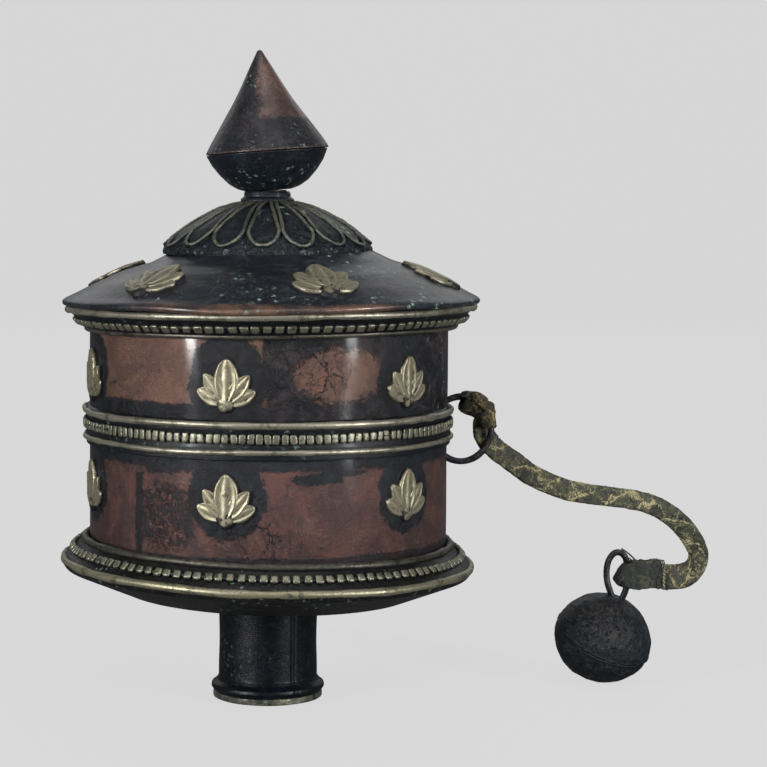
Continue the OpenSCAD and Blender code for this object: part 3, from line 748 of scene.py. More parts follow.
def cloth_skin(name, light, shade, seed):
    """Plain-woven cloth: fine threads both ways, faded in patches."""
    g = Graph(name)
    turned_by = g.angle() * 0.46
    wave_a = g.calc("SINE", turned_by * 22.0)
    wave_b = g.calc("SINE", g.z * 22.0)
    weave = wave_a * wave_b
    cloud = g.noise(0.14, 6, 0.65, 0.5, seed)
    fine = g.noise(3.0, 5, 0.7, 0.2, seed + 1)
    colour = g.mix(light, shade, (cloud + (fine - 0.5) * 0.3).step(0.38, 0.62))
    colour = g.mix(colour, shade, weave.step(0.2, 1.0) * 0.35)
    g.bump(weave * 0.5 + fine * 0.3, 0.07)
    return g.finish(colour, 0.0, 0.9, 0.2)


def thread_skin(name, light, shade, seed):
    """Twisted thread: slanting plies, grubby between them."""
    g = Graph(name)
    ply = g.calc("SINE", (g.x + g.y * 0.7 + g.z) * 9.0)
    fine = g.noise(5.0, 5, 0.7, 0.2, seed)
    colour = g.mix(light, shade, (ply * 0.25 + fine).step(0.40, 0.72))
    g.bump(ply * 0.3 + fine * 0.5, 0.06)
    return g.finish(colour, 0.0, 0.85, 0.25)


def lid_edge_rub_and_highlight(g, broad, cloud, fine):
    """The cover is rubbed to copper along the middle of its edge, front and back; this copper line is also a
    painted highlight along the edge.
    """
    warp = (broad - 0.5) * 3.0 + (cloud - 0.5) * 2.6 + (fine - 0.5) * 1.6
    # painted highlight and real rubbing: the crust is taken off a thin line along the edge
    brink = ((lid_z - 1.05) - g.z + warp * 0.30).step(0.0, 0.5)
    middle = (g.x - 2 + warp * 3).size().step(24, 17)
    return -(brink * middle * (0.5 + broad * 0.8))


def cone_crust(g, broad, cloud, fine):
    """Brown shows near the tip on the right, and along the seam in scratches that also paint a highlight on its
    lip; the rest is crusted.
    """
    warp = (broad - 0.5) * 5.0 + (cloud - 0.5) * 5.0 + (fine - 0.5) * 2.4
    below = (finial_z + 13.5 - g.z + warp * 0.5).step(-0.4, 0.4)
    left = (warp - 1.5 - g.x).step(-0.6, 1.0)
    # painted highlight along the seam's lip, partly scratches: the crust is taken off there
    seam = (g.z - finial_z - 7.55 - g.x * 0.0787).size().step(0.42, 0.12) * fine.step(0.40, 0.52)
    return below.most(left) * 0.95 - seam * 0.8


def low_on_bowl(g):
    """More flecks on the bowl's lower half."""
    return (finial_z + 5.5 - g.z).step(-1.0, 2.5) * 0.12 - 0.02


def seam_flecks_and_highlight(g):
    """More flecks on the cone just above its seam; with them a pale line is painted there as a highlight on the
    lip.
    """
    return (g.z - finial_z - 8.1 - g.x * 0.079).size().step(0.9, 0.1) * 0.16 - 0.02


M = {
    "drum": copper_drum(),
    "lid": patina("copper_lid", srgb(100, 74, 60), srgb(56, 46, 44), srgb(13, 18, 26), 0.70, 0.12, 0.075, 11,
                  (0.28, 0.46), 0.45, 0.9, lid_edge_rub_and_highlight, srgb(122, 146, 136), ash=srgb(46, 54, 60), shine=0.5,
                  coat=0.25, fleck_where=lambda g: g.x * 0.0028),
    "skirt": patina("copper_skirt", srgb(80, 60, 52), srgb(44, 35, 33), srgb(9, 11, 12), 0.70, 0.1, 0.11, 14,
                    (0.32, 0.50), 0.4, 0.5, ash=srgb(28, 31, 30), shine=0.25),
    "plate": patina("dark_underside", srgb(82, 60, 56), srgb(46, 38, 40), srgb(10, 15, 20), 0.60, 0.12, 0.12,
                    17, (0.28, 0.46), 0.45, 0.7, ash=srgb(36, 46, 54)),
    "band": patina("band_ground", srgb(50, 46, 42), srgb(30, 30, 32), srgb(9, 11, 16), 0.66, 0.2, 0.3, 19,
                   (0.34, 0.5), 0.4, 0.35, relief=0.06),
    "lotus": patina("lotus_ground", srgb(58, 66, 66), srgb(28, 36, 42), srgb(8, 11, 18), 0.62, 0.16, 0.25, 21,
                    (0.30, 0.46), 0.35, 1.0, fleck_colour=srgb(136, 148, 138), relief=0.30,
                    ash=srgb(34, 44, 50), fleck_size=1.5),
    "neck": patina("neck_metal", srgb(66, 76, 78), srgb(32, 42, 48), srgb(9, 13, 20), 0.58, 0.16, 0.3, 23,
                   (0.30, 0.45), 0.4, 0.9, relief=0.12, ash=srgb(36, 46, 52)),
    "bowl": patina("finial_bowl", srgb(70, 60, 60), srgb(40, 38, 42), srgb(10, 16, 22), 0.64, 0.14, 0.12, 25,
                   (0.26, 0.42), 0.45, 0.9, ash=srgb(26, 38, 50), fleck_colour=srgb(96, 112, 110),
                   fleck_size=0.8, fleck_where=low_on_bowl),
    "cone": patina("finial_cone", srgb(94, 73, 64), srgb(66, 52, 49), srgb(12, 18, 25), 0.30, 0.12, 0.10, 27,
                   (0.28, 0.46), 0.45, 0.55, cone_crust, ash=srgb(46, 50, 54), fleck_size=0.8, relief=0.14,
                   fleck_where=seam_flecks_and_highlight),
    "ferrule": patina("ferrule_metal", srgb(56, 42, 40), srgb(24, 23, 26), srgb(5, 8, 12), 0.74, 0.12, 0.13,
                      29, (0.30, 0.46), 0.3, 0.12, ash=srgb(16, 23, 32), relief=0.07, shine=0.28, coat=0.05,
                      fleck_size=0.7),
    "foot": patina("foot_metal", srgb(104, 104, 88), srgb(66, 68, 58), srgb(24, 25, 25), 0.46, 0.16, 0.3, 37,
                   (0.32, 0.48), 0.5, 0.6, relief=0.06),
    "ring": patina("ring_wire", srgb(78, 74, 78), srgb(48, 45, 50), srgb(16, 16, 21), 0.50, 0.2, 0.5, 39,
                   (0.28, 0.44), 0.55, 0.1, relief=0.05),
    "beads": white_metal("bead_metal", srgb(118, 118, 102), srgb(76, 77, 66), srgb(12, 14, 14), 0.38, 41),
    "wire": white_metal("wire_metal", srgb(138, 135, 120), srgb(98, 97, 84), srgb(18, 18, 18), 0.44, 43,
                        green=0.4),
    "roll": white_metal("roll_metal", srgb(134, 130, 108), srgb(88, 86, 70), srgb(18, 18, 17), 0.38, 45,
                        green=0.5),
    "dull_wire": white_metal("dull_wire_metal", srgb(92, 90, 80), srgb(52, 51, 46), srgb(14, 14, 15),
                             0.24, 57),
    "inner_roll": white_metal("inner_roll_metal", srgb(82, 80, 70), srgb(44, 43, 39), srgb(12, 13, 14),
                              0.14, 47),
    "ornament": white_metal("ornament_metal", srgb(142, 136, 114), srgb(98, 93, 77), srgb(13, 14, 14),
                            0.52, 49, green=0.3, grime=0.4),
    "petal_wire": white_metal("petal_wire", srgb(112, 112, 100), srgb(72, 74, 68), srgb(14, 18, 20),
                              0.36, 53, green=0.6),
    "iron": plain_metal("spindle_iron", srgb(118, 112, 106), srgb(52, 46, 44), 71),
    "tang": plain_metal("tang_iron", srgb(54, 52, 52), srgb(24, 24, 28), 85, (0.4, 0.55), 0.6),
    "brass": plain_metal("bush_brass", srgb(178, 142, 74), srgb(92, 70, 36), 73),
    "washer": plain_metal("washer_brass", srgb(150, 122, 66), srgb(66, 54, 34), 75),
    "lead": plain_metal("core_lead", srgb(112, 116, 122), srgb(62, 64, 70), 77, (0.5, 0.7), 0.7),
    "spigot": plain_metal("spigot_copper", srgb(134, 84, 64), srgb(66, 48, 46), 79),
    "cap": plain_metal("cap_copper", srgb(104, 72, 58), srgb(46, 38, 38), 81),
    "loop": plain_metal("loop_wire", srgb(74, 74, 74), srgb(22, 23, 28), 83, (0.32, 0.48), 0.6, 0.44),
    "wood": wood_skin(), "paper": paper_skin(),
    "cloth": cloth_skin("wrapper_cloth", srgb(186, 132, 52), srgb(120, 74, 32), 91),
    "tie": thread_skin("tie_thread", srgb(158, 58, 46), srgb(78, 28, 26), 93),
    "binding": thread_skin("binding_thread", srgb(118, 115, 92), srgb(58, 57, 45), 95),
    "stray": thread_skin("stray_thread", srgb(58, 56, 48), srgb(26, 26, 22), 97),
    "strap": rawhide("rawhide_strap", srgb(152, 144, 108), srgb(80, 79, 58), srgb(36, 39, 35), 101,
                     bareness=1.0),
    "knot": rawhide("rawhide_knot", srgb(104, 94, 62), srgb(52, 48, 32), srgb(20, 20, 17), 111, 0.6, 0.6),
    "frayed": rawhide("rawhide_frayed", srgb(158, 142, 100), srgb(92, 80, 50), srgb(36, 33, 22), 121,
                      1.0, 1.3),
    "fold": rawhide("rawhide_fold", srgb(96, 96, 76), srgb(42, 46, 38), srgb(18, 22, 20), 131, 0.3,
                    0.55, 0.6),
    "weight": weight_skin(),
}


def stand_in(name, parts, body, key, node):
    """A piece made from (verts, faces, raised) that stands for one CAD node."""
    return piece(make_mesh(name, *parts), body, M[key], (node,))


# ---------------------------------------------------------------- strap, its knot and its end
strap_points = [
    [38.5, 1.8, 51.5], [38.8, 1.8, 49.5], [40.0, 1.9, 47.2], [42.2, 2.0, 45.2], [45.0, 2.2, 43.2],
    [48.0, 2.5, 41.0], [51.5, 3.0, 39.3], [55.0, 3.7, 38.0], [58.8, 4.5, 37.2], [62.6, 5.3, 36.7],
    [66.6, 6.1, 36.1], [70.3, 7.0, 35.2], [73.2, 7.8, 33.8], [75.7, 8.6, 32.0], [77.9, 9.4, 29.8],
    [79.5, 10.2, 27.4], [80.4, 10.9, 25.2], [80.2, 11.6, 23.1], [79.2, 12.5, 21.5], [77.5, 13.3, 20.5],
    [75.5, 13.8, 20.3], [73.0, 14.0, 20.4], [70.0, 14.0, 20.7], [68.6, 14.0, 20.8],
]
strap_turns = [60, 45, 25, 10, 5, 0, 0, 0, 0, 0, 0, 0, -5, -10, -20, -30, -40, -45, -35, -20, -5, 0, 0, 0]
strap_thick = 1.3
strap_widths = [3.9, 4.0, 4.0, 3.9, 3.7, 3.7, 3.8, 4.1, 4.4, 4.7, 4.9, 4.9]


def strip(name, rows, widths, thick, seed, key, per_span, stands_for=(), **more):
    """A piece of hide along rows of (x, y, z, turn), and its centreline. widths are spread evenly along it."""
    eased = smooth_route(rows, per_span)
    wide = np.interp(np.linspace(0, 1, len(eased)), np.linspace(0, 1, len(widths)), widths)
    verts, faces, raised, uv, centres = ribbon(eased[:, :3], wide, thick, eased[:, 3], seed=seed, **more)
    obj = make_mesh(name, verts, faces, raised, uv)
    return piece(obj, "strap", M[key], stands_for), centres


strap_rows = [[*point, turn] for point, turn in zip(strap_points, strap_turns)]
strap, strap_centres = strip("strap_hide", strap_rows, strap_widths, strap_thick, 3, "strap", 16, ("strap",))

# how far the ring is squashed towards the drum, as a share of the distance from the shell
ring_squash = 0.095


def on_ring(degrees, out, back):
    """A point by the ring's wire: degrees up from +X, out from the ring's centreline, back towards +Y."""
    a = math.radians(degrees)
    r = ring_r + out
    x = ring_centre.x + r * math.cos(a)
    return [x - ring_squash * max(0.0, x - drum_r), back, ring_centre.z + r * math.sin(a)]


def coil(start, end, turns, reach, out, first, grow):
    """Points that wind a strip of hide round the ring's wire, from start to end in degrees up from +X."""
    count = 26
    points = []
    for i in range(count):
        t = i / (count - 1)
        a = math.radians(first) + math.tau * turns * t
        r = reach + grow * t
        points.append(on_ring(start + (end - start) * t, out + r * math.cos(a), r * math.sin(a) * 1.05))
    return points


def wound(name, rows, wide, thick, seed):
    """A strip of the knot that lies flat on the wire it is wound on: its width runs along the wire."""
    pts = smooth_route(rows, 8)
    n = len(pts)
    along = np.concatenate([[0], np.cumsum(np.linalg.norm(np.diff(pts, axis=0), axis=1))])
    sides = 36
    verts, raised, uv = [], [], []
    for i in range(n):
        p = Vector(pts[i])
        spoke = Vector((p.x - ring_centre.x, 0, p.z - ring_centre.z)).normalized()
        wire = ring_centre + spoke * (ring_r - 0.75)
        out = (p - wire).normalized()
        side = Vector((-spoke.z, 0, spoke.x))
        out = (out - side * out.dot(side)).normalized()
        w = wide[0] + (wide[1] - wide[0]) * i / (n - 1)
        for k in range(sides):
            q = math.tau * (k + 0.5) / sides
            c, d = math.cos(q), math.sin(q)
            x = math.copysign(abs(c) ** 0.5, c)
            y = math.copysign(abs(d) ** 0.8, d)
            s = along[i]
            rim = 1 + 0.10 * noise.noise((s * 0.6, seed * 2.3, math.copysign(4, c)))
            crease = noise.noise((s * 0.55, x * 1.7, seed + 2.0)) \
                + 0.5 * noise.noise((s * 1.4, x * 3.1, seed + 5.0))
            h = y * thick / 2 + math.copysign(1, d) * abs(d) ** 0.5 * 0.22 * crease
            verts.append(p + side * (x * w / 2 * rim) + out * (h - 0.22 * x * x))
            raised.append(0.5 + 0.6 * crease)
            uv.append((s / 10 + seed, (x + 1) / 2 if d > 0 else 2 + (x + 1) / 2))
    faces = grid_faces(n, sides, False, True)
    verts += [Vector(pts[0]), Vector(pts[-1])]
    raised += [0.2, 0.2]
    uv += [(seed, 0.5), (seed, 0.5)]
    for k in range(sides):
        j = (k + 1) % sides
        faces.append((n * sides, k, j))
        faces.append((n * sides + 1, (n - 1) * sides + j, (n - 1) * sides + k))
    obj = make_mesh(name, [list(v) for v in verts], faces, raised, uv)
    return piece(obj, "strap", M["knot"], ())


knot_main = wound("knot_upper_wrap", coil(72, 58, 1.25, 1.45, -0.95, -60, 0.45), (4.3, 3.9), 1.15, 1.0)
knot_mid = wound("knot_middle_wrap", coil(53, 34, 1.2, 1.3, -0.8, -40, 0.4), (3.6, 3.3), 1.05, 2.0)
knot_low = wound("knot_lower_wrap", coil(29, 12, 1.1, 1.1, -0.7, -30, 0.3), (3.0, 2.6), 0.95, 3.0)
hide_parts("strap_knot")

# the hide's frayed edge, crumpled along the knot's right side
frayed_rows = [[*on_ring(74, -0.9, -1.5), 20], [*on_ring(66, 0.5, -2.0), 40], [*on_ring(56, 0.75, -1.9), 15],
               [*on_ring(46, 0.55, -2.0), 50], [*on_ring(36, 0.85, -1.6), 20], [*on_ring(25, 0.5, -1.5), 35],
               [*on_ring(14, 0.1, -1.2), 20]]
knot_frayed = strip("knot_frayed_edge", frayed_rows, [1.7, 2.4, 2.0, 2.6, 2.1, 1.8, 1.0], 0.75, 7, "frayed",
                    10, crumple=0.34, edge=0.30)[0]
# the strap's start, drawn up through the knot behind the ring
tail_rows = [[*on_ring(52, -2.0, 0.2), 88], [*on_ring(36, -1.9, 1.2), 80], [38.6, 1.8, 50.4, 55],
             [39.2, 1.85, 48.6, 36], [40.4, 1.9, 46.8, 20]]
knot_tail = strip("knot_tail", tail_rows, [3.0, 3.8, 4.3, 4.5, 4.3], 1.05, 9, "knot", 10, crumple=0.22)[0]

# the end: folded round the weight's wire loop, back on itself and bound with thread
leg = Vector((67.3, 14.0))
fold_z = 20.8
fold_rows = []
for x, y in ((74.1, 15.0), (72.6, 15.0), (71.0, 15.05), (69.4, 15.25)):
    fold_rows.append([x, y, fold_z + 0.012 * (x - 67) ** 2 - 0.1, 90])
for degrees in range(60, 301, 20):
    a = math.radians(degrees)
    fold_rows.append([leg.x + 1.42 * math.cos(a), leg.y + 1.3 * math.sin(a), fold_z - 0.1, 90])
for x, y in ((69.4, 12.8), (71.0, 12.95), (72.6, 13.0), (73.9, 13.05)):
    fold_rows.append([x, y, fold_z + 0.012 * (x - 67) ** 2 - 0.25, 90])
end_fold = strip("strap_end_fold_hide", fold_rows, [4.9, 5.0, 4.9, 4.4, 4.9, 5.3, 5.3], 0.8, 12, "fold", 8,
                 ("strap_end_fold",), lean=(0, 0, 1), sides=40, crumple=0.13, edge=0.09, cut=0.5)[0]

# its left edge slants out to a point a little below the middle
place = np.array([v.co[:] for v in end_fold.data.vertices]) / MM
lean_out = np.interp(place[:, 2] - fold_z, [-2.7, -0.9, 0.4, 2.7], [0.3, -0.9, -0.2, 1.3])
place[:, 0] += lean_out * np.clip((70.0 - place[:, 0]) / 3.5, 0, 1)
end_fold.data.vertices.foreach_set("co", (place * MM).ravel())


def thread(name, points, radius, key, seed=0):
    """A thread of the strap's binding or of its frayed hide."""
    parts = tube(smooth_route(points, 6), radius, 10, seed=seed, uneven=0.06)
    return piece(make_mesh(name, *parts), "strap", M[key], ())


loops = []
for i in range(2):
    x = 73.9 + i * 0.26
    lean = 0.12 * (i - 1)
    for a in range(0, 360, 20):
        c, d = math.cos(math.radians(a)), math.sin(math.radians(a))
        loops.append([x + 0.26 * a / 360 + lean * d * 0.5, 14.0 + math.copysign(abs(c) ** 0.6, c) * 1.62,
                      fold_z - 0.15 + math.copysign(abs(d) ** 0.6, d) * 2.72])
binding = thread("binding_turns", loops, 0.12, "binding", seed=5)
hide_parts("strap_binding")
stitch = [[74.2, 12.6, 23.3], [74.0, 12.25, 22.2], [73.7, 12.2, 20.9], [73.3, 12.2, 19.6], [73.1, 12.4, 18.5],
          [73.2, 13.1, 18.0]]
cross = thread("binding_cross_stitch", stitch, 0.10, "stray", seed=8)
stray = [
    thread("frayed_thread_a", [[73.9, 12.4, 18.5], [74.5, 12.2, 18.1], [75.0, 12.3, 18.0]], 0.09, "stray"),
    thread("frayed_thread_b", [[69.4, 12.6, 23.1], [68.4, 12.2, 24.0], [67.3, 12.0, 25.0],
                               [66.0, 12.0, 25.9]], 0.15, "stray"),
    thread("frayed_thread_c", [[69.0, 12.6, 22.9], [68.0, 12.2, 23.7], [67.2, 12.1, 24.2],
                               [66.4, 12.1, 24.5]], 0.12, "stray"),
]

# ---------------------------------------------------------------- ring
ring_steps = 120
ring_points, ring_thick = [], []
for i in range(ring_steps):
    a = math.tau * i / ring_steps
    r = ring_r + 0.07 * math.sin(2 * a + 1.0) + 0.04 * math.sin(3 * a)
    x = ring_centre.x + r * math.cos(a)
    ring_points.append([x - ring_squash * max(0.0, x - drum_r), 0.06 * math.sin(2 * a + 0.4),
                        ring_centre.z + r * math.sin(a)])
    ring_thick.append(0.60 + 0.03 * math.sin(5 * a))
stand_in("wire_ring", tube(ring_points, ring_thick, 20, True), "ring", "ring", "ring")

# ---------------------------------------------------------------- weight
weight_at = Vector((62.9, 14.0, 0.0))
weight_r, weight_h = 9.15, 8.3
weight_turn = Matrix.Rotation(math.radians(22), 3, "Y") @ Matrix.Rotation(math.radians(17), 3, "X")
weight_lean = weight_turn[2][2]
weight_at.z = math.hypot(weight_h * weight_lean, weight_r * math.sqrt(1 - weight_lean ** 2))


def on_weight(verts):
    """The weight's own points, tilted and put in its place."""
    return np.asarray(verts, float) @ np.array(weight_turn).T + np.array(weight_at)


def weight_half(name, sign, seed, node):
    """One shell of the weight: sign is 1 above the seam and -1 below it. The seam stands out as a lip."""
    outer = [(weight_r * math.cos(math.radians(a)), sign * weight_h * math.sin(math.radians(a)))
             for a in np.arange(0, 91, 2.0)]
    outer[0] = (weight_r + 0.10, sign * 0.03)
    outer[1] = (weight_r + 0.08, sign * 0.32)
    outer[2] = (weight_r - 0.10, sign * 0.55)
    in_r, in_h = weight_r - 1.0, weight_h - 1.0
    inner = [(in_r * math.cos(math.radians(a)), sign * in_h * math.sin(math.radians(a)))
             for a in np.arange(90, -1, -6.0)]
    outer[-1] = (0.0, sign * weight_h)
    inner[0] = (0.0, sign * in_h)
    lumps = waves(seed, 0.10, 6, 14, 0.1)
    verts, faces, raised = revolved(outer + inner, 220, lumps, 0)
    verts = np.asarray(verts)
    for i, v in enumerate(verts):
        n = noise.noise((v[0] * 0.5, v[1] * 0.5, v[2] * 0.5 + seed)) * 0.14 \
            + noise.noise((v[0] * 1.6, v[1] * 1.6, v[2] * 1.6 + seed)) * 0.07
        verts[i] = v * (1 + n / 9)
    obj = make_mesh(name, on_weight(verts), faces, raised)
    return piece(obj, "weight", M["weight"], (node,))


weight_top = weight_half("weight_upper_shell", 1, 7, "weight_upper_half")
weight_bottom = weight_half("weight_lower_shell", -1, 8, "weight_lower_half")

eye = [(64.9, 15.4), (64.3, 17.1), (63.7, 18.9), (63.45, 20.7), (63.6, 22.5), (64.1, 23.8), (65.0, 24.75),
       (66.1, 24.75), (66.95, 23.9), (67.25, 22.7), (67.3, 21.2), (67.3, 19.6), (67.25, 18.2), (66.8, 16.75),
       (65.67, 14.5)]
eye_wire = tube(smooth_route([(x, weight_at.y, z) for x, z in eye], 8), 0.6, 18, seed=3, uneven=0.012)
weight_eye = stand_in("weight_wire_eye", eye_wire, "weight", "loop", "weight_loop")

(strap_centres * MM).tolist()

# ---------------------------------------------------------------- ferrule
gap_angle = math.radians(-90 + 33)


def seam(angle):
    """The ferrule's soldered joint: a groove with a low ridge beside it."""
    d = np.angle(np.exp(1j * (angle - gap_angle)))
    return -0.22 * np.exp(-(d / 0.035) ** 2) + 0.05 * np.exp(-((d - 0.09) / 0.06) ** 2)


tube_dents = waves(15, 0.05, 5, 10, 0.1)
ferrule = [(7.9, 0), (8.6, 0), (8.6, 1.2), (9.9, 1.2), (10.4, 2.0), (10.3, 2.6), (9.4, 3.3), (9.0, 4.0),
           (8.96, 9.0), (9.0, 18.0), (8.7, 18.2), (8.1, 18.2), (8.1, 15.6), (7.9, 15.6)]
verts, faces, raised = revolved(ferrule, 260, lambda a, z: tube_dents(a, z) * 0.8 + seam(a), 0.14, 0.8)
verts = np.asarray(verts)
inside = np.hypot(verts[:, 0], verts[:, 1]) < 8.25
verts[inside, :2] *= (np.where(verts[inside, 2] > 15.55, 8.1, 7.9)
                      / np.hypot(verts[inside, 0], verts[inside, 1]))[:, None]
stand_in("ferrule_wall", (verts, faces, raised), "ferrule", "ferrule", "ferrule_tube")
sole = revolved([(8.6, 0), (9.9, 0), (9.9, 1.2), (8.6, 1.2)], 260, waves(16, 0.05, 9, 12, 0.05), 0.3)
stand_in("foot_band", sole, "ferrule", "foot", "foot_ring")

# ---------------------------------------------------------------- base of the drum
p = plate_z
plate = [(5.0, p), (9.3, p), (26.3, p + 0.4), (26.3, p + 1.6), (9.3, p + 1.4), (5.0, p + 1.4)]
disc = revolved(plate, 300, waves(21, 0.06, 6, 12, 0.1), 0.15, 1.5)
stand_in("base_disc", disc, "drum", "plate", "base_plate")
r = drum_r
skirt = [(26.3, p + 0.4), (r + 4.4, p + 4.7), (r + 4.9, p + 5.5), (r + 4.5, p + 6.5), (r + 2.9, p + 7.9),
         (r + 1.7, p + 9.0), (r + 0.9, p + 9.9), (r, p + 10.2), (r, p + 5.1), (26.3, p + 1.6)]
flare = revolved(skirt, 360, waves(20, 0.07, 5, 14, 0.03), 0.2, 1.0)
stand_in("base_flare", flare, "drum", "skirt", "base_skirt")


def add_wire(name, node, body, key, at, wire, seed, uneven, out=(1, 0)):
    """A white metal wire round the object. out is the way (outwards, up) in which it is rubbed bright and given a
    painted highlight; its other side is painted in shade.
    """
    parts = turned_wire(at[0], at[1], wire, seed, uneven=uneven, out=out)
    return stand_in(name, parts, body, key, node)


add_wire("base_lower_wire", "base_outer_roll", "drum", "roll", (r + 4.5, p + 6.1), 0.75, 31, 0.06, (0.95, 0.3))
add_wire("base_upper_wire", "base_inner_roll", "drum", "inner_roll", (r + 0.8, p + 10.0), 0.72, 33, 0.06,
         (0.78, 0.62))


def bead_ring(name, node, body, at, count, size, lean, seed, ground, square):
    """A beaded strip round the spindle. size is (round, up, out) half sizes of a bead, lean turns its
    outward side up by that many degrees, ground is the radius of the wire behind the beads, and square is
    how round their corners are: 1 is an egg, near 0 a box."""
    r = random.Random(seed)
    verts, faces, raised = turned_wire(at[0], at[1], ground, seed, 360, 12, 0.02)
    # the wire behind the beads is kept low, so white metal paints it dark: tarnish and painted shade between the
    # beads
    parts = [(verts, faces, raised * 0.15)]
    lie = waves(seed + 3, 0.05, 9, 10, 0)
    tilt = math.radians(lean)
    out = np.array([math.cos(tilt), math.sin(tilt)])
    up = np.array([-math.sin(tilt), math.cos(tilt)])
    rows, cols = 9, 14
    lat = (np.arange(rows) + 0.5) / rows * math.pi - math.pi / 2
    lon = np.arange(cols) * math.tau / cols

    def power(v, e):
        return np.sign(v) * np.abs(v) ** e
    for i in range(count):
        mid = math.tau * (i + r.uniform(-0.07, 0.07)) / count
        a, b, c = (s * r.uniform(0.90, 1.08) for s in size)
        skew = r.uniform(-0.12, 0.12)
        lift = r.uniform(-0.04, 0.04)
        pts, high_up = [], []
        for la in lat:
            for lo in lon:
                u = a * power(math.cos(la), square) * power(math.cos(lo), square)
                v = b * power(math.cos(la), square) * power(math.sin(lo), square)
                w = c * power(math.sin(la), square)
                u += skew * v
                q = np.array(at) + out * (w + lift) + up * (v + float(lie(mid, 0)))
                ang = mid + u / q[0]
                pts.append((q[0] * math.cos(ang), q[0] * math.sin(ang), q[1]))
                # the bead's outward face is rubbed bright and given a painted highlight; its sides and back get
                # painted shade with their tarnish
                high_up.append(min(1.0, max(0.0, (math.sin(la) + 0.10) / 0.55)))
        faces = [tuple(reversed(f)) for f in grid_faces(rows, cols, False, True)]
        faces.append(tuple(range(cols))[::-1])
        faces.append(tuple((rows - 1) * cols + k for k in range(cols)))
        parts.append((pts, faces, high_up))
    return stand_in(name, merge(parts), body, "beads", node)


bead_ring("base_beads", "base_bead_strip", "drum", (r + 2.75, p + 8.15), 118, (0.70, 0.76, 0.78), 42, 51,
          0.42, 0.40)

# ---------------------------------------------------------------- drum shell with its two holes for the ring
shell = [(r - 1.2, shell_z), (r, shell_z), (r, shell_top), (r - 1.2, shell_top)]
shell_dents = waves(25, 0.075, 7, 22, 0.05)


def shell_field(angle, z):
    """Dents in the shell, dying out where the lid's spigot and the ring sit."""
    plain = np.clip((z - shell_z) / 6, 0, 1) * np.clip((shell_top - z) / 6, 0, 1)
    return shell_dents(angle, z) * (0.35 + 0.65 * plain)


verts, faces, raised = revolved(shell, 420, shell_field, 0.18, 1.0)
verts = np.asarray(verts)
flat = np.hypot(verts[:, 0], verts[:, 1])
bore = flat < r - 0.75
verts[bore, :2] *= ((r - 1.2) / flat[bore])[:, None]
shell_obj = make_mesh("drum_wall", verts, faces, raised)
hole_rise = math.sqrt(ring_r ** 2 - (ring_centre.x - (r - 0.5)) ** 2)
hole_r = 1.85
hole_sides = 32
cut_verts, cut_faces = [], []
for side in (-1, 1):
    near = len(cut_verts)
    far = near + hole_sides
    for x in (r - 4, r + 4):
        for k in range(hole_sides):
            a = math.tau * k / hole_sides
            height = ring_centre.z + side * hole_rise + hole_r * math.sin(a)
            cut_verts.append([x, hole_r * math.cos(a), height])
    cut_faces += [tuple(range(near, far))[::-1], tuple(range(far, far + hole_sides))]
    for k in range(hole_sides):
        j = (k + 1) % hole_sides
        cut_faces.append((near + k, near + j, far + j, far + k))
cutter = make_mesh("cutter", cut_verts, cut_faces)
bore_holes = shell_obj.modifiers.new("holes", "BOOLEAN")
bore_holes.operation, bore_holes.object, bore_holes.solver = "DIFFERENCE", cutter, "EXACT"
bpy.context.view_layer.update()
graph = bpy.context.evaluated_depsgraph_get()
shell_obj.data = bpy.data.meshes.new_from_object(shell_obj.evaluated_get(graph))
shell_obj.modifiers.clear()
bpy.data.objects.remove(cutter)
piece(shell_obj, "drum", M["drum"], ("drum_shell",))

# ---------------------------------------------------------------- middle band
b = band_z
band = [(r - 0.05, b), (r + 0.6, b + 0.1), (r + 0.6, b + 2.3), (r + 0.4, b + 3.0), (r + 0.4, b + 4.6),
        (r + 0.55, b + 5.2), (r + 0.55, b + 6.6), (r - 0.05, b + 6.9)]
strip_ground = revolved(band, 360, waves(27, 0.04, 9, 12, 0.05), 0.12, 0.8)
stand_in("band_ground", strip_ground, "drum", "band", "mid_band")
add_wire("band_top_wire", "band_upper_wire_ring", "drum", "wire", (r + 0.7, b + 6.05), 0.62, 35, 0.07)
add_wire("band_foot_wire", "band_lower_wire_ring", "drum", "wire", (r + 0.65, b + 1.4), 0.5, 37, 0.07)
bead_ring("band_beads", "band_bead_strip", "drum", (r + 0.62, b + 3.8), 144, (0.60, 0.86, 0.50), 0, 53,
          0.45, 0.36)


# ---------------------------------------------------------------- lotus ornaments
relief_sink = 0.25


def petal_relief(length, width, turn, root, high_up):
    """One raised petal with a rim and a hollow each side of its vein: (points, faces, raised)."""
    rows, cols = 26, 17
    disc = ((length / 2) ** 2 + (width / 2) ** 2) / width
    a = math.radians(turn)
    pts, raised = [], []
    for i in range(rows):
        s = 0.5 - 0.5 * math.cos(math.pi * i / (rows - 1))
        y = s * length
        bow = math.sqrt(max(0, disc ** 2 - (y - length / 2) ** 2))
        half = max(0.02, bow - (disc - width / 2))
        for j in range(cols):
            t = math.sin((j / (cols - 1) - 0.5) * math.pi)
            inner = min(1 - abs(t), s * 6, (1 - s) * 3.5)
            rim = min(1.0, max(0.0, inner / 0.13)) ** 0.5
            hollow = 0.42 * math.exp(-((abs(t) - 0.42) / 0.20) ** 2) * min(1, (1 - s) * 3, s * 4)
            h = high_up * rim * (1 - hollow * 0.62)
            u, v = t * half, y
            pts.append((root[0] + u * math.cos(a) + v * math.sin(a),
                        root[1] - u * math.sin(a) + v * math.cos(a), h - relief_sink * (1 - rim)))
            # raised paints the petal: its rim rubbed bright with a painted highlight, its hollows and sunk edge
            # painted shade with their tarnish
            raised.append(rim * (1 - 0.95 * hollow))
    return pts, grid_faces(rows, cols, False, False), raised


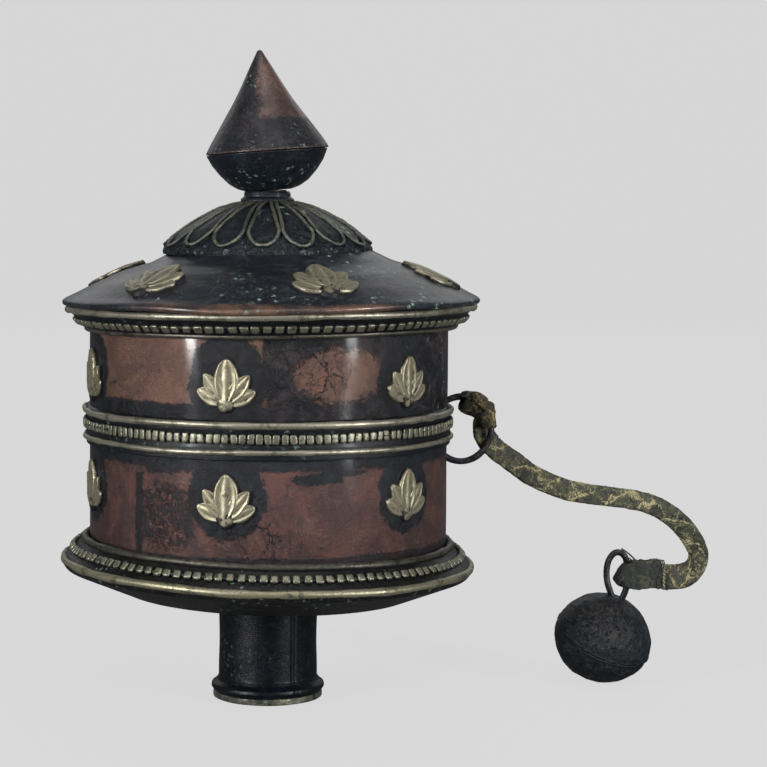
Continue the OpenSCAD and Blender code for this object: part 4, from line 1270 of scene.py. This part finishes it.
def calyx_relief(root, radius, high_up):
    """The boss at the petals' root: (points, faces, raised)."""
    rings, cols = 9, 22
    pts, raised = [], []
    for i in range(rings):
        s = (i + 0.001) / (rings - 1)
        for j in range(cols):
            a = -math.tau * j / cols
            h = high_up * max(0.0, 1 - s ** 4) ** 0.5
            pts.append((root[0] + radius * s * math.cos(a), root[1] + radius * s * math.sin(a),
                        h - relief_sink * (s > 0.99)))
            # the boss is painted bright at its top and in painted shade towards its sunk edge, with its tarnish
            raised.append(max(0.0, 1 - s ** 3) * (0.75 + 0.25 * math.cos(3 * a)))
    return pts, [tuple(reversed(f)) for f in grid_faces(rings, cols, False, True)], raised


def lotus_relief(half_w, high_up):
    """The five petals and calyx of one ornament, the middle petal in front."""
    root = (0.0, -half_w * 0.7)
    parts = []
    for turn, share in ((-66, 0.74), (66, 0.74), (-38, 0.86), (38, 0.86), (0, 1.0)):
        tall = 1.55 if turn == 0 else 1.5 - abs(turn) * 0.006
        wide = 0.9 if turn == 0 else 0.62
        parts.append(petal_relief(half_w * tall, half_w * wide, turn, root, high_up * share))
    parts.append(calyx_relief(root, half_w * 0.34, high_up))
    return merge(parts)


def laid(relief, place, seed):
    """The relief put on a curved wall by place(u, v, height), a little uneven as hand-cut work is."""
    verts, faces, raised = relief
    r = random.Random(seed)
    tilt = math.radians(r.uniform(-2.5, 2.5))
    grow = r.uniform(0.98, 1.03)
    c, d = grow * math.cos(tilt), grow * math.sin(tilt)
    out = []
    for u, v, h in verts:
        u, v = u * c - v * d, u * d + v * c
        n = noise.noise((u * 0.8 + seed * 3, v * 0.8, 0))
        m = noise.noise((u * 0.8, v * 0.8 + seed * 5, 4))
        out.append(place(u + 0.12 * n, v + 0.12 * m, h + 0.05 * m))
    return out, faces, raised


flower = lotus_relief(5.0, 0.8)


def row_of_ornaments(name, node, z, seed):
    """A row of lotus ornaments round the drum, centred at height z."""
    parts = []
    for i in range(ornaments):
        mid = math.radians(ornament_turn + ornament_step * i - 90)

        def place(u, v, h, mid=mid):
            a = mid + u / drum_r
            return (drum_r + h) * math.cos(a), (drum_r + h) * math.sin(a), z + v
        parts.append(laid(flower, place, seed + i))
    return stand_in(name, merge(parts), "drum", "ornament", node)


row_of_ornaments("drum_lotuses_upper", "upper_ornaments", upper_row_z, 3)
row_of_ornaments("drum_lotuses_lower", "lower_ornaments", lower_row_z, 13)

# ---------------------------------------------------------------- lid
z = lid_z
cover_top = [(5, 8.0), (lotus_r - 0.9, 6.9), (r - 10.7, 4.9), (r - 5.5, 3.3), (r - 0.6, 1.1), (r + 3.0, -0.7),
             (r + 4.8, -1.5)]
cover = cover_top + [(r + 5.3, -1.9), (r + 5.3, -2.4), (r + 5.0, -2.75), (r + 4.4, -2.75), (r + 4.1, -2.6),
                     (r + 2.5, -1.6), (r + 0.4, -0.3), (r - 1.0, 0.35), (r - 5.8, 2.1), (r - 11, 3.7),
                     (lotus_r - 1.1, 5.6), (5, 6.8)]
top_r, top_z = np.array([q[0] for q in cover_top]), np.array([q[1] for q in cover_top])
lid_dents = waves(61, 0.075, 6, 18, 0.06)
verts, faces, raised = revolved([(q[0], q[1] + z) for q in cover], 420, None, 0.6, 0.9)
verts = np.asarray(verts)
flat = np.hypot(verts[:, 0], verts[:, 1])
around = np.arctan2(verts[:, 1], verts[:, 0])
verts[:, 2] += lid_dents(around, flat) * np.clip((flat - 12) / 8, 0, 1)
verts[:, 2] += waves(63, 0.09, 11, 10, 0)(around, 0) * np.clip((flat - r - 2.5) / 2, 0, 1)
stand_in("lid_dome", (verts, faces, raised), "lid", "lid", "lid_cover")

rim = [(r + 0.4, z - 7.1), (r + 0.8, z - 7.1), (r + 4.4, z - 3.4), (r + 4.4, z - 2.75), (r + 4.1, z - 2.6),
       (r + 2.5, z - 1.6), (r + 0.4, z - 0.3)]
rim_ground = revolved(rim, 360, waves(65, 0.04, 9, 12, 0.05), 0.12, 0.8)
stand_in("lid_rim_ground", rim_ground, "lid", "band", "lid_rim")
add_wire("lid_edge_wire", "lid_rim_wire", "lid", "wire", (r + 4.3, z - 3.35), 0.6, 67, 0.08, (0.95, 0.1))
add_wire("lid_foot_wire", "lid_lower_wire", "lid", "dull_wire", (r + 0.95, z - 6.75), 0.45, 69, 0.07, (0.95, -0.3))
bead_ring("lid_beads", "lid_bead_strip", "lid", (r + 2.6, z - 5.2), 110, (0.78, 0.74, 0.70), -42, 71,
          0.42, 0.38)


def on_lid(turn):
    """Places an ornament on the lid's slope, its petals towards the middle."""
    a = math.radians(turn)

    def place(u, v, h):
        x, y = u, 3.9 - drum_r + v
        flat = math.hypot(x, y)
        here = float(np.interp(flat, top_r, top_z))
        ahead = float(np.interp(flat + 0.4, top_r, top_z))
        fall = (ahead - here) / 0.4
        n = Vector((-fall * x / flat, -fall * y / flat, 1)).normalized() * (h + 0.03)
        x, y = x + n.x, y + n.y
        return x * math.cos(a) - y * math.sin(a), x * math.sin(a) + y * math.cos(a), lid_z + here + n.z
    return place


lid_flower = lotus_relief(5.75, 0.85)
lid_row = [laid(lid_flower, on_lid(20 + ornament_step * i), 40 + i) for i in range(ornaments)]
stand_in("lid_lotuses", merge(lid_row), "lid", "ornament", "lid_ornaments")

# ---------------------------------------------------------------- lotus cap with its sixteen petals
m = lotus_r
dome = [(m + 0.2, -0.75), (m + 0.2, 0.2), (m - 0.15, 0.9), (m - 0.9, 1.6), (m - 2.1, 2.7), (m - 3.5, 3.8),
        (m - 5.2, 4.9), (m - 7.3, 6.05), (m - 9.7, 7.2), (m - 12, 7.95), (4.9, 8.35), (4.2, 8.45)]
dome_under = [(4.2, 6.6), (m - 9.9, 5.8), (m - 7.6, 4.9), (m - 5.8, 4.0), (m - 4.3, 2.9), (m - 2.9, 1.7),
              (m - 1.9, 0.6), (m - 1.3, -0.1), (m - 0.5, -0.4)]
dome_r = np.array([q[0] for q in dome])[::-1]
dome_h = np.array([q[1] for q in dome])[::-1]
petals = 16
half_pitch = math.pi / petals


def petal_half_width(radius):
    """Half a petal's width at that radius, so that its wire stays clear of the next petal's."""
    return max(0.30, half_pitch * radius - 0.42 - 0.10 * max(0, 9 - radius) / 9)


verts, faces, raised = revolved([(q[0], q[1] + lotus_z) for q in dome + dome_under], 480, None, 0.5, 0.45)
verts = np.asarray(verts)
flat = np.hypot(verts[:, 0], verts[:, 1])
around = np.arctan2(verts[:, 1], verts[:, 0])
swing = (around + math.pi / 2) / half_pitch / 2
off = np.abs(swing - np.round(swing)) * 2
topside = verts[:, 2] > lotus_z + np.interp(flat, dome_r, dome_h) - 0.45
pillow = np.clip((flat - 5) / 4, 0, 1) * np.clip((lotus_r - 1.0 - flat) / 2.0, 0, 1)
lift = (0.32 * (1 - off ** 2) - 0.30 * np.clip((off - 0.80) / 0.2, 0, 1)) * pillow
hand = np.array([noise.noise((v[0] * 0.35, v[1] * 0.35, 2.0)) for v in verts])
verts[:, 2] += np.where(topside, lift + 0.12 * hand * pillow, 0)
scallop = 0.45 * (np.clip(off, 0, 1) ** 2) * np.clip((flat - lotus_r + 1.2), 0, 1)
shrink = 1 - (scallop + 0.12 * np.clip(hand, 0, 1)) / lotus_r * np.clip((flat - lotus_r + 1.2), 0, 1)
verts[:, :2] *= shrink[:, None]
brim = np.clip((flat - lotus_r + 3.0) / 2.0, 0, 1) * topside
crumbs = np.array([noise.noise((v[0] * 1.1, v[1] * 1.1, v[2] * 1.1))
                   + 0.5 * noise.noise((v[0] * 2.6, v[1] * 2.6, 7.0)) for v in verts])
verts[:, 2] += 0.22 * crumbs * brim
verts[:, :2] *= (1 + 0.20 * crumbs * brim / lotus_r)[:, None]
raised = np.where(topside, 0.25 + 0.6 * (1 - off), 0.2)
stand_in("lotus_dome", (verts, faces, raised), "lid", "lotus", "lotus_cap")

petal_wire_r = 0.36
wire_sides = 10
wires = []
for k in range(petals):
    hand_rng = random.Random(300 + k)
    mid = -math.pi / 2 + 2 * half_pitch * k + hand_rng.uniform(-0.012, 0.012)
    reach = lotus_r - 0.2 + hand_rng.uniform(-0.2, 0.15)
    bend = reach - 2.9
    outline = []
    for q in np.linspace(4.75, bend, 12):
        outline.append((petal_half_width(q) * (1 - 0.05 * math.sin((q - 5) / 10 * math.pi)), q))
    w0 = petal_half_width(bend)
    for t in np.linspace(0, math.pi / 2, 7)[1:]:
        outline.append((w0 * math.cos(t), bend + (reach - bend) * math.sin(t)))
    outline = [(-u, q) for u, q in outline] + [(u, q) for u, q in outline[::-1][1:]]
    route = []
    for u, q in outline:
        a = mid + u / q
        h = float(np.interp(q, dome_r, dome_h)) + 0.18 + 0.05 * hand_rng.uniform(-1, 1)
        route.append([q * math.cos(a), q * math.sin(a), lotus_z + h])
    eased = smooth_route(route, 5)
    verts, faces, raised = tube(eased, petal_wire_r, wire_sides, seed=k, uneven=0.12)
    verts = np.asarray(verts)
    centre = np.repeat(eased, wire_sides, axis=0)
    upward = (verts[:, 2] - centre[:, 2]) / petal_wire_r
    outward = (np.hypot(*verts[:, :2].T) - np.hypot(*centre[:, :2].T)) / petal_wire_r
    # the wire's upper, outer side is rubbed bright and given a painted highlight, its under side painted shade
    # with its tarnish
    wires.append((verts, faces, np.clip(0.5 + 0.6 * (upward * 0.75 + outward * 0.4), 0, 1)))
stand_in("lotus_petal_outlines", merge(wires), "lid", "petal_wire", "lotus_petal_wires")

# ---------------------------------------------------------------- neck and finial
c = collar_top
neck = [(3.05, lotus_z + 2), (4.2, lotus_z + 2), (4.3, c - 1.9), (4.7, c - 1.6), (4.85, c - 1.15),
        (4.55, c - 0.75), (4.2, c - 0.6), (4.15, c - 0.3), (4.2, c - 0.1), (4.1, c + 0.15), (3.95, c + 0.45),
        (3.05, c + 0.45)]
moulding = revolved(neck, 160, waves(73, 0.03, 5, 10, 0.2), 0.12, 0.4)
stand_in("neck_moulding", moulding, "lid", "neck", "neck_collar")


def leaning(parts):
    """The finial's (verts, faces, raised), tilted by its lean and put on the neck."""
    verts, faces, raised = parts
    v = np.asarray(verts, float)
    s, k = math.sin(finial_lean), math.cos(finial_lean)
    v = np.stack([v[:, 0] * k - v[:, 2] * s, v[:, 1], v[:, 0] * s + v[:, 2] * k + finial_z], -1)
    return v, faces, raised


e = 11.0
bowl = [(0, 0.5), (4.0, 0.5), (5.6, 1.0), (7.2, 2.0), (8.8, 3.7), (e - 0.9, 5.5), (e - 0.25, 6.9),
        (e + 0.02, 7.42), (e - 0.8, 7.46), (e - 1.8, 5.6), (8.0, 4.0), (6.6, 2.8), (5.0, 2.2), (0, 2.0)]
bowl_wall = leaning(revolved(bowl, 260, waves(75, 0.07, 5, 16, 0.1), 0.35, 0.5))
stand_in("finial_lower_bowl", bowl_wall, "finial", "bowl", "finial_bowl")
cone = [(0, 6.8), (e - 1.8, 6.8), (e - 1.2, 7.5), (e + 0.02, 7.54), (e - 0.15, 8.0), (e - 0.9, 9.3),
        (5.5, 16.6), (0.75, 25.0), (0.45, 25.6), (0, 25.8)]


def cone_field(angle, z):
    """The cone's dents, and the lap where its sheet is soldered; both die out at the tip."""
    d = np.angle(np.exp(1j * (angle - math.radians(-90 + 74))))
    lap = 0.16 * np.exp(-(np.clip(d, 0, None) / 0.10)) * (d > 0) * np.clip((25 - z) / 8, 0, 1)
    return waves(77, 0.10, 4, 18, 0.07)(angle, z) * np.clip((25.5 - z) / 6, 0.1, 1) - lap


cone_wall = leaning(revolved(cone, 260, cone_field, 0.25, 0.5))
stand_in("finial_upper_cone", cone_wall, "finial", "cone", "finial_cone")

# ---------------------------------------------------------------- what the drum holds
base, top = low("paper_scroll").z, high("paper_scroll").z
layer = random.Random(9)
radii = np.arange(6.6, 26.3, 0.22)
end_up = [(q, top + 0.16 * math.sin(q * 9.7) * layer.uniform(0.2, 1) - 0.12) for q in radii]
end_down = [(q, base + 0.16 * math.sin(q * 8.9) * layer.uniform(0.2, 1) + 0.12) for q in radii]
scroll = [(6.5, base), *end_down, (26.4, base + 0.1), (26.4, top - 0.1), *end_up[::-1], (6.5, top)]
roll = revolved(scroll, 300, waves(81, 0.10, 7, 12, 0.02), 0, 2.0)
stand_in("paper_roll", roll, "drum", "paper", "paper_scroll")


def cloth_field(angle, z):
    """The wrapper's folds, and the step where its end laps over."""
    folds = waves(83, 0.06, 14, 16, 0.06)(angle, z)
    d = np.angle(np.exp(1j * (angle - 2.2)))
    return folds + 0.28 * np.exp(-(np.clip(d, 0, None) / 0.9)) * (d > 0) - 0.02


wrap_low, wrap_high = low("scroll_wrapper").z, high("scroll_wrapper").z
sleeve = [(26.45, wrap_low), (26.95, wrap_low), (26.95, wrap_high), (26.45, wrap_high)]
verts, faces, raised = revolved(sleeve, 360, cloth_field, 0.12, 1.0)
verts = np.asarray(verts)
near_hem = np.abs(verts[:, 2] - (wrap_low + wrap_high) / 2) > 16
verts[:, 2] += 0.25 * np.sin(np.arctan2(verts[:, 1], verts[:, 0]) * 5) * near_hem
stand_in("scroll_cloth", (verts, faces, raised), "drum", "cloth", "scroll_wrapper")

tie_r = 26.82
ply_r = 0.17
knot_at = 26.9 * math.cos(-1.2), 26.9 * math.sin(-1.2)
ties = []
for level in (base + 1.5, top - 1.5):
    for ply in range(2):
        route = []
        for i in range(360):
            a = math.tau * i / 360
            twist = 46 * a + math.pi * ply
            q = tie_r + ply_r * math.cos(twist)
            route.append([q * math.cos(a), q * math.sin(a), level + ply_r * math.sin(twist)])
        ties.append(tube(route, 0.23, 8, True))
    for k in range(3):
        knot = [[knot_at[0] + 0.7 * math.cos(q + k), knot_at[1] + 0.35 * math.sin(2 * q),
                 level + 0.65 * math.sin(q + k * 1.3)] for q in np.linspace(0, math.tau, 14)[:-1]]
        ties.append(tube(knot, 0.22, 8, True))
stand_in("scroll_thread_ties", merge(ties), "drum", "tie", "scroll_ties")

carried_over = {
    "ferrule_cap": "cap", "bearing_washer": "washer", "spindle": "iron", "spindle_collar": "iron",
    "bottom_bush": "brass", "core_tube": "wood", "lid_spigot": "spigot", "lid_bush": "brass",
    "finial_tang": "tang", "weight_core": "lead",
}
for node, key in carried_over.items():
    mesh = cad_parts[node].data
    mesh.materials.clear()
    mesh.materials.append(M[key])


# ---------------------------------------------------------------- knocked a little out of true
def bent(names, slope, shift, start, full):
    """Tips and shifts round pieces beyond a radius, as the old one's base and lid have been."""
    for name in names:
        mesh = bpy.data.objects[name].data
        at = np.empty(len(mesh.vertices) * 3)
        mesh.vertices.foreach_get("co", at)
        at = at.reshape(-1, 3)
        amount = np.clip((np.hypot(at[:, 0], at[:, 1]) / MM - start) / (full - start), 0, 1)
        at[:, 2] += slope * at[:, 0] * amount
        at[:, 0] += shift * MM * amount
        mesh.vertices.foreach_set("co", at.ravel())
        mesh.update()


bent(("base_lower_wire", "base_upper_wire", "base_beads", "base_disc", "base_flare"), -0.024, 0.0, 12, 27)
bent(("lid_dome", "lid_rim_ground", "lid_edge_wire", "lid_foot_wire", "lid_beads", "lid_lotuses"),
     0.012, 0.45, 9, 16)
bent(("lotus_dome", "lotus_petal_outlines"), 0.012, -0.35, 4.4, 8)
bent(("neck_moulding",), 0.0, -0.45, 3.2, 3.7)


# ---------------------------------------------------------------- floor and light
def stage_material():
    """A pale floor that glows a little, so that it is even and catches only a faint shadow."""
    g = Graph("pale_floor")
    g.put(g.shader.inputs["Emission Color"], (0.694, 0.694, 0.694))
    g.shader.inputs["Emission Strength"].default_value = 0.94
    return g.finish((0.045, 0.045, 0.045), 0.0, 0.9, 0.0)


sweep = []
for y in np.linspace(-2.5, 1.2, 8):
    sweep.append((y, 0.0))
for a in np.linspace(0, math.pi / 2, 14)[1:]:
    sweep.append((1.2 + 0.8 * math.sin(a), 0.8 - 0.8 * math.cos(a)))
sweep.append((2.0, 3.2))
floor_verts = [(x, y, h - 0.00002) for y, h in sweep for x in (-3.0, 3.0)]
floor_mesh = bpy.data.meshes.new("floor")
floor_faces = [(2 * i, 2 * i + 1, 2 * i + 3, 2 * i + 2) for i in range(len(sweep) - 1)]
floor_mesh.from_pydata(floor_verts, [], floor_faces)
floor_mesh.polygons.foreach_set("use_smooth", [True] * len(floor_mesh.polygons))
floor = bpy.data.objects.new("floor", floor_mesh)
scene.collection.objects.link(floor)
floor_mesh.materials.append(stage_material())
floor.visible_glossy = False

centre = Vector((0.02, 0.0, 0.06))


def softbox(name, azimuth, elevation, distance, size, power):
    """An area light aimed at the object; azimuth 0 is on the camera's side and + towards +X."""
    light = bpy.data.lights.new(name, "AREA")
    light.shape, light.size, light.size_y = "RECTANGLE", size[0], size[1]
    light.energy = power
    a, e = math.radians(azimuth), math.radians(elevation)
    obj = bpy.data.objects.new(name, light)
    aim = Vector((math.sin(a) * math.cos(e), -math.cos(a) * math.cos(e), math.sin(e)))
    obj.location = centre + distance * aim
    obj.rotation_euler = (centre - obj.location).to_track_quat("-Z", "Y").to_euler()
    scene.collection.objects.link(obj)


softbox("soft_left", -48, 10, 0.9, (0.10, 0.44), 9.0)
softbox("soft_right", 53, 10, 0.9, (0.10, 0.44), 8.5)
softbox("soft_top", 10, 72, 1.2, (0.8, 0.8), 4.5)
softbox("soft_front", -8, 42, 1.3, (0.9, 0.3), 2.6)
softbox("soft_behind", 178, 26, 1.1, (1.8, 0.5), 2.6)

world = bpy.data.worlds.new("studio")
scene.world = world
world.use_nodes = True
background = world.node_tree.nodes["Background"]
background.inputs[0].default_value = (0.62, 0.64, 0.68, 1)
background.inputs[1].default_value = 0.13
scene.view_settings.view_transform = "Standard"
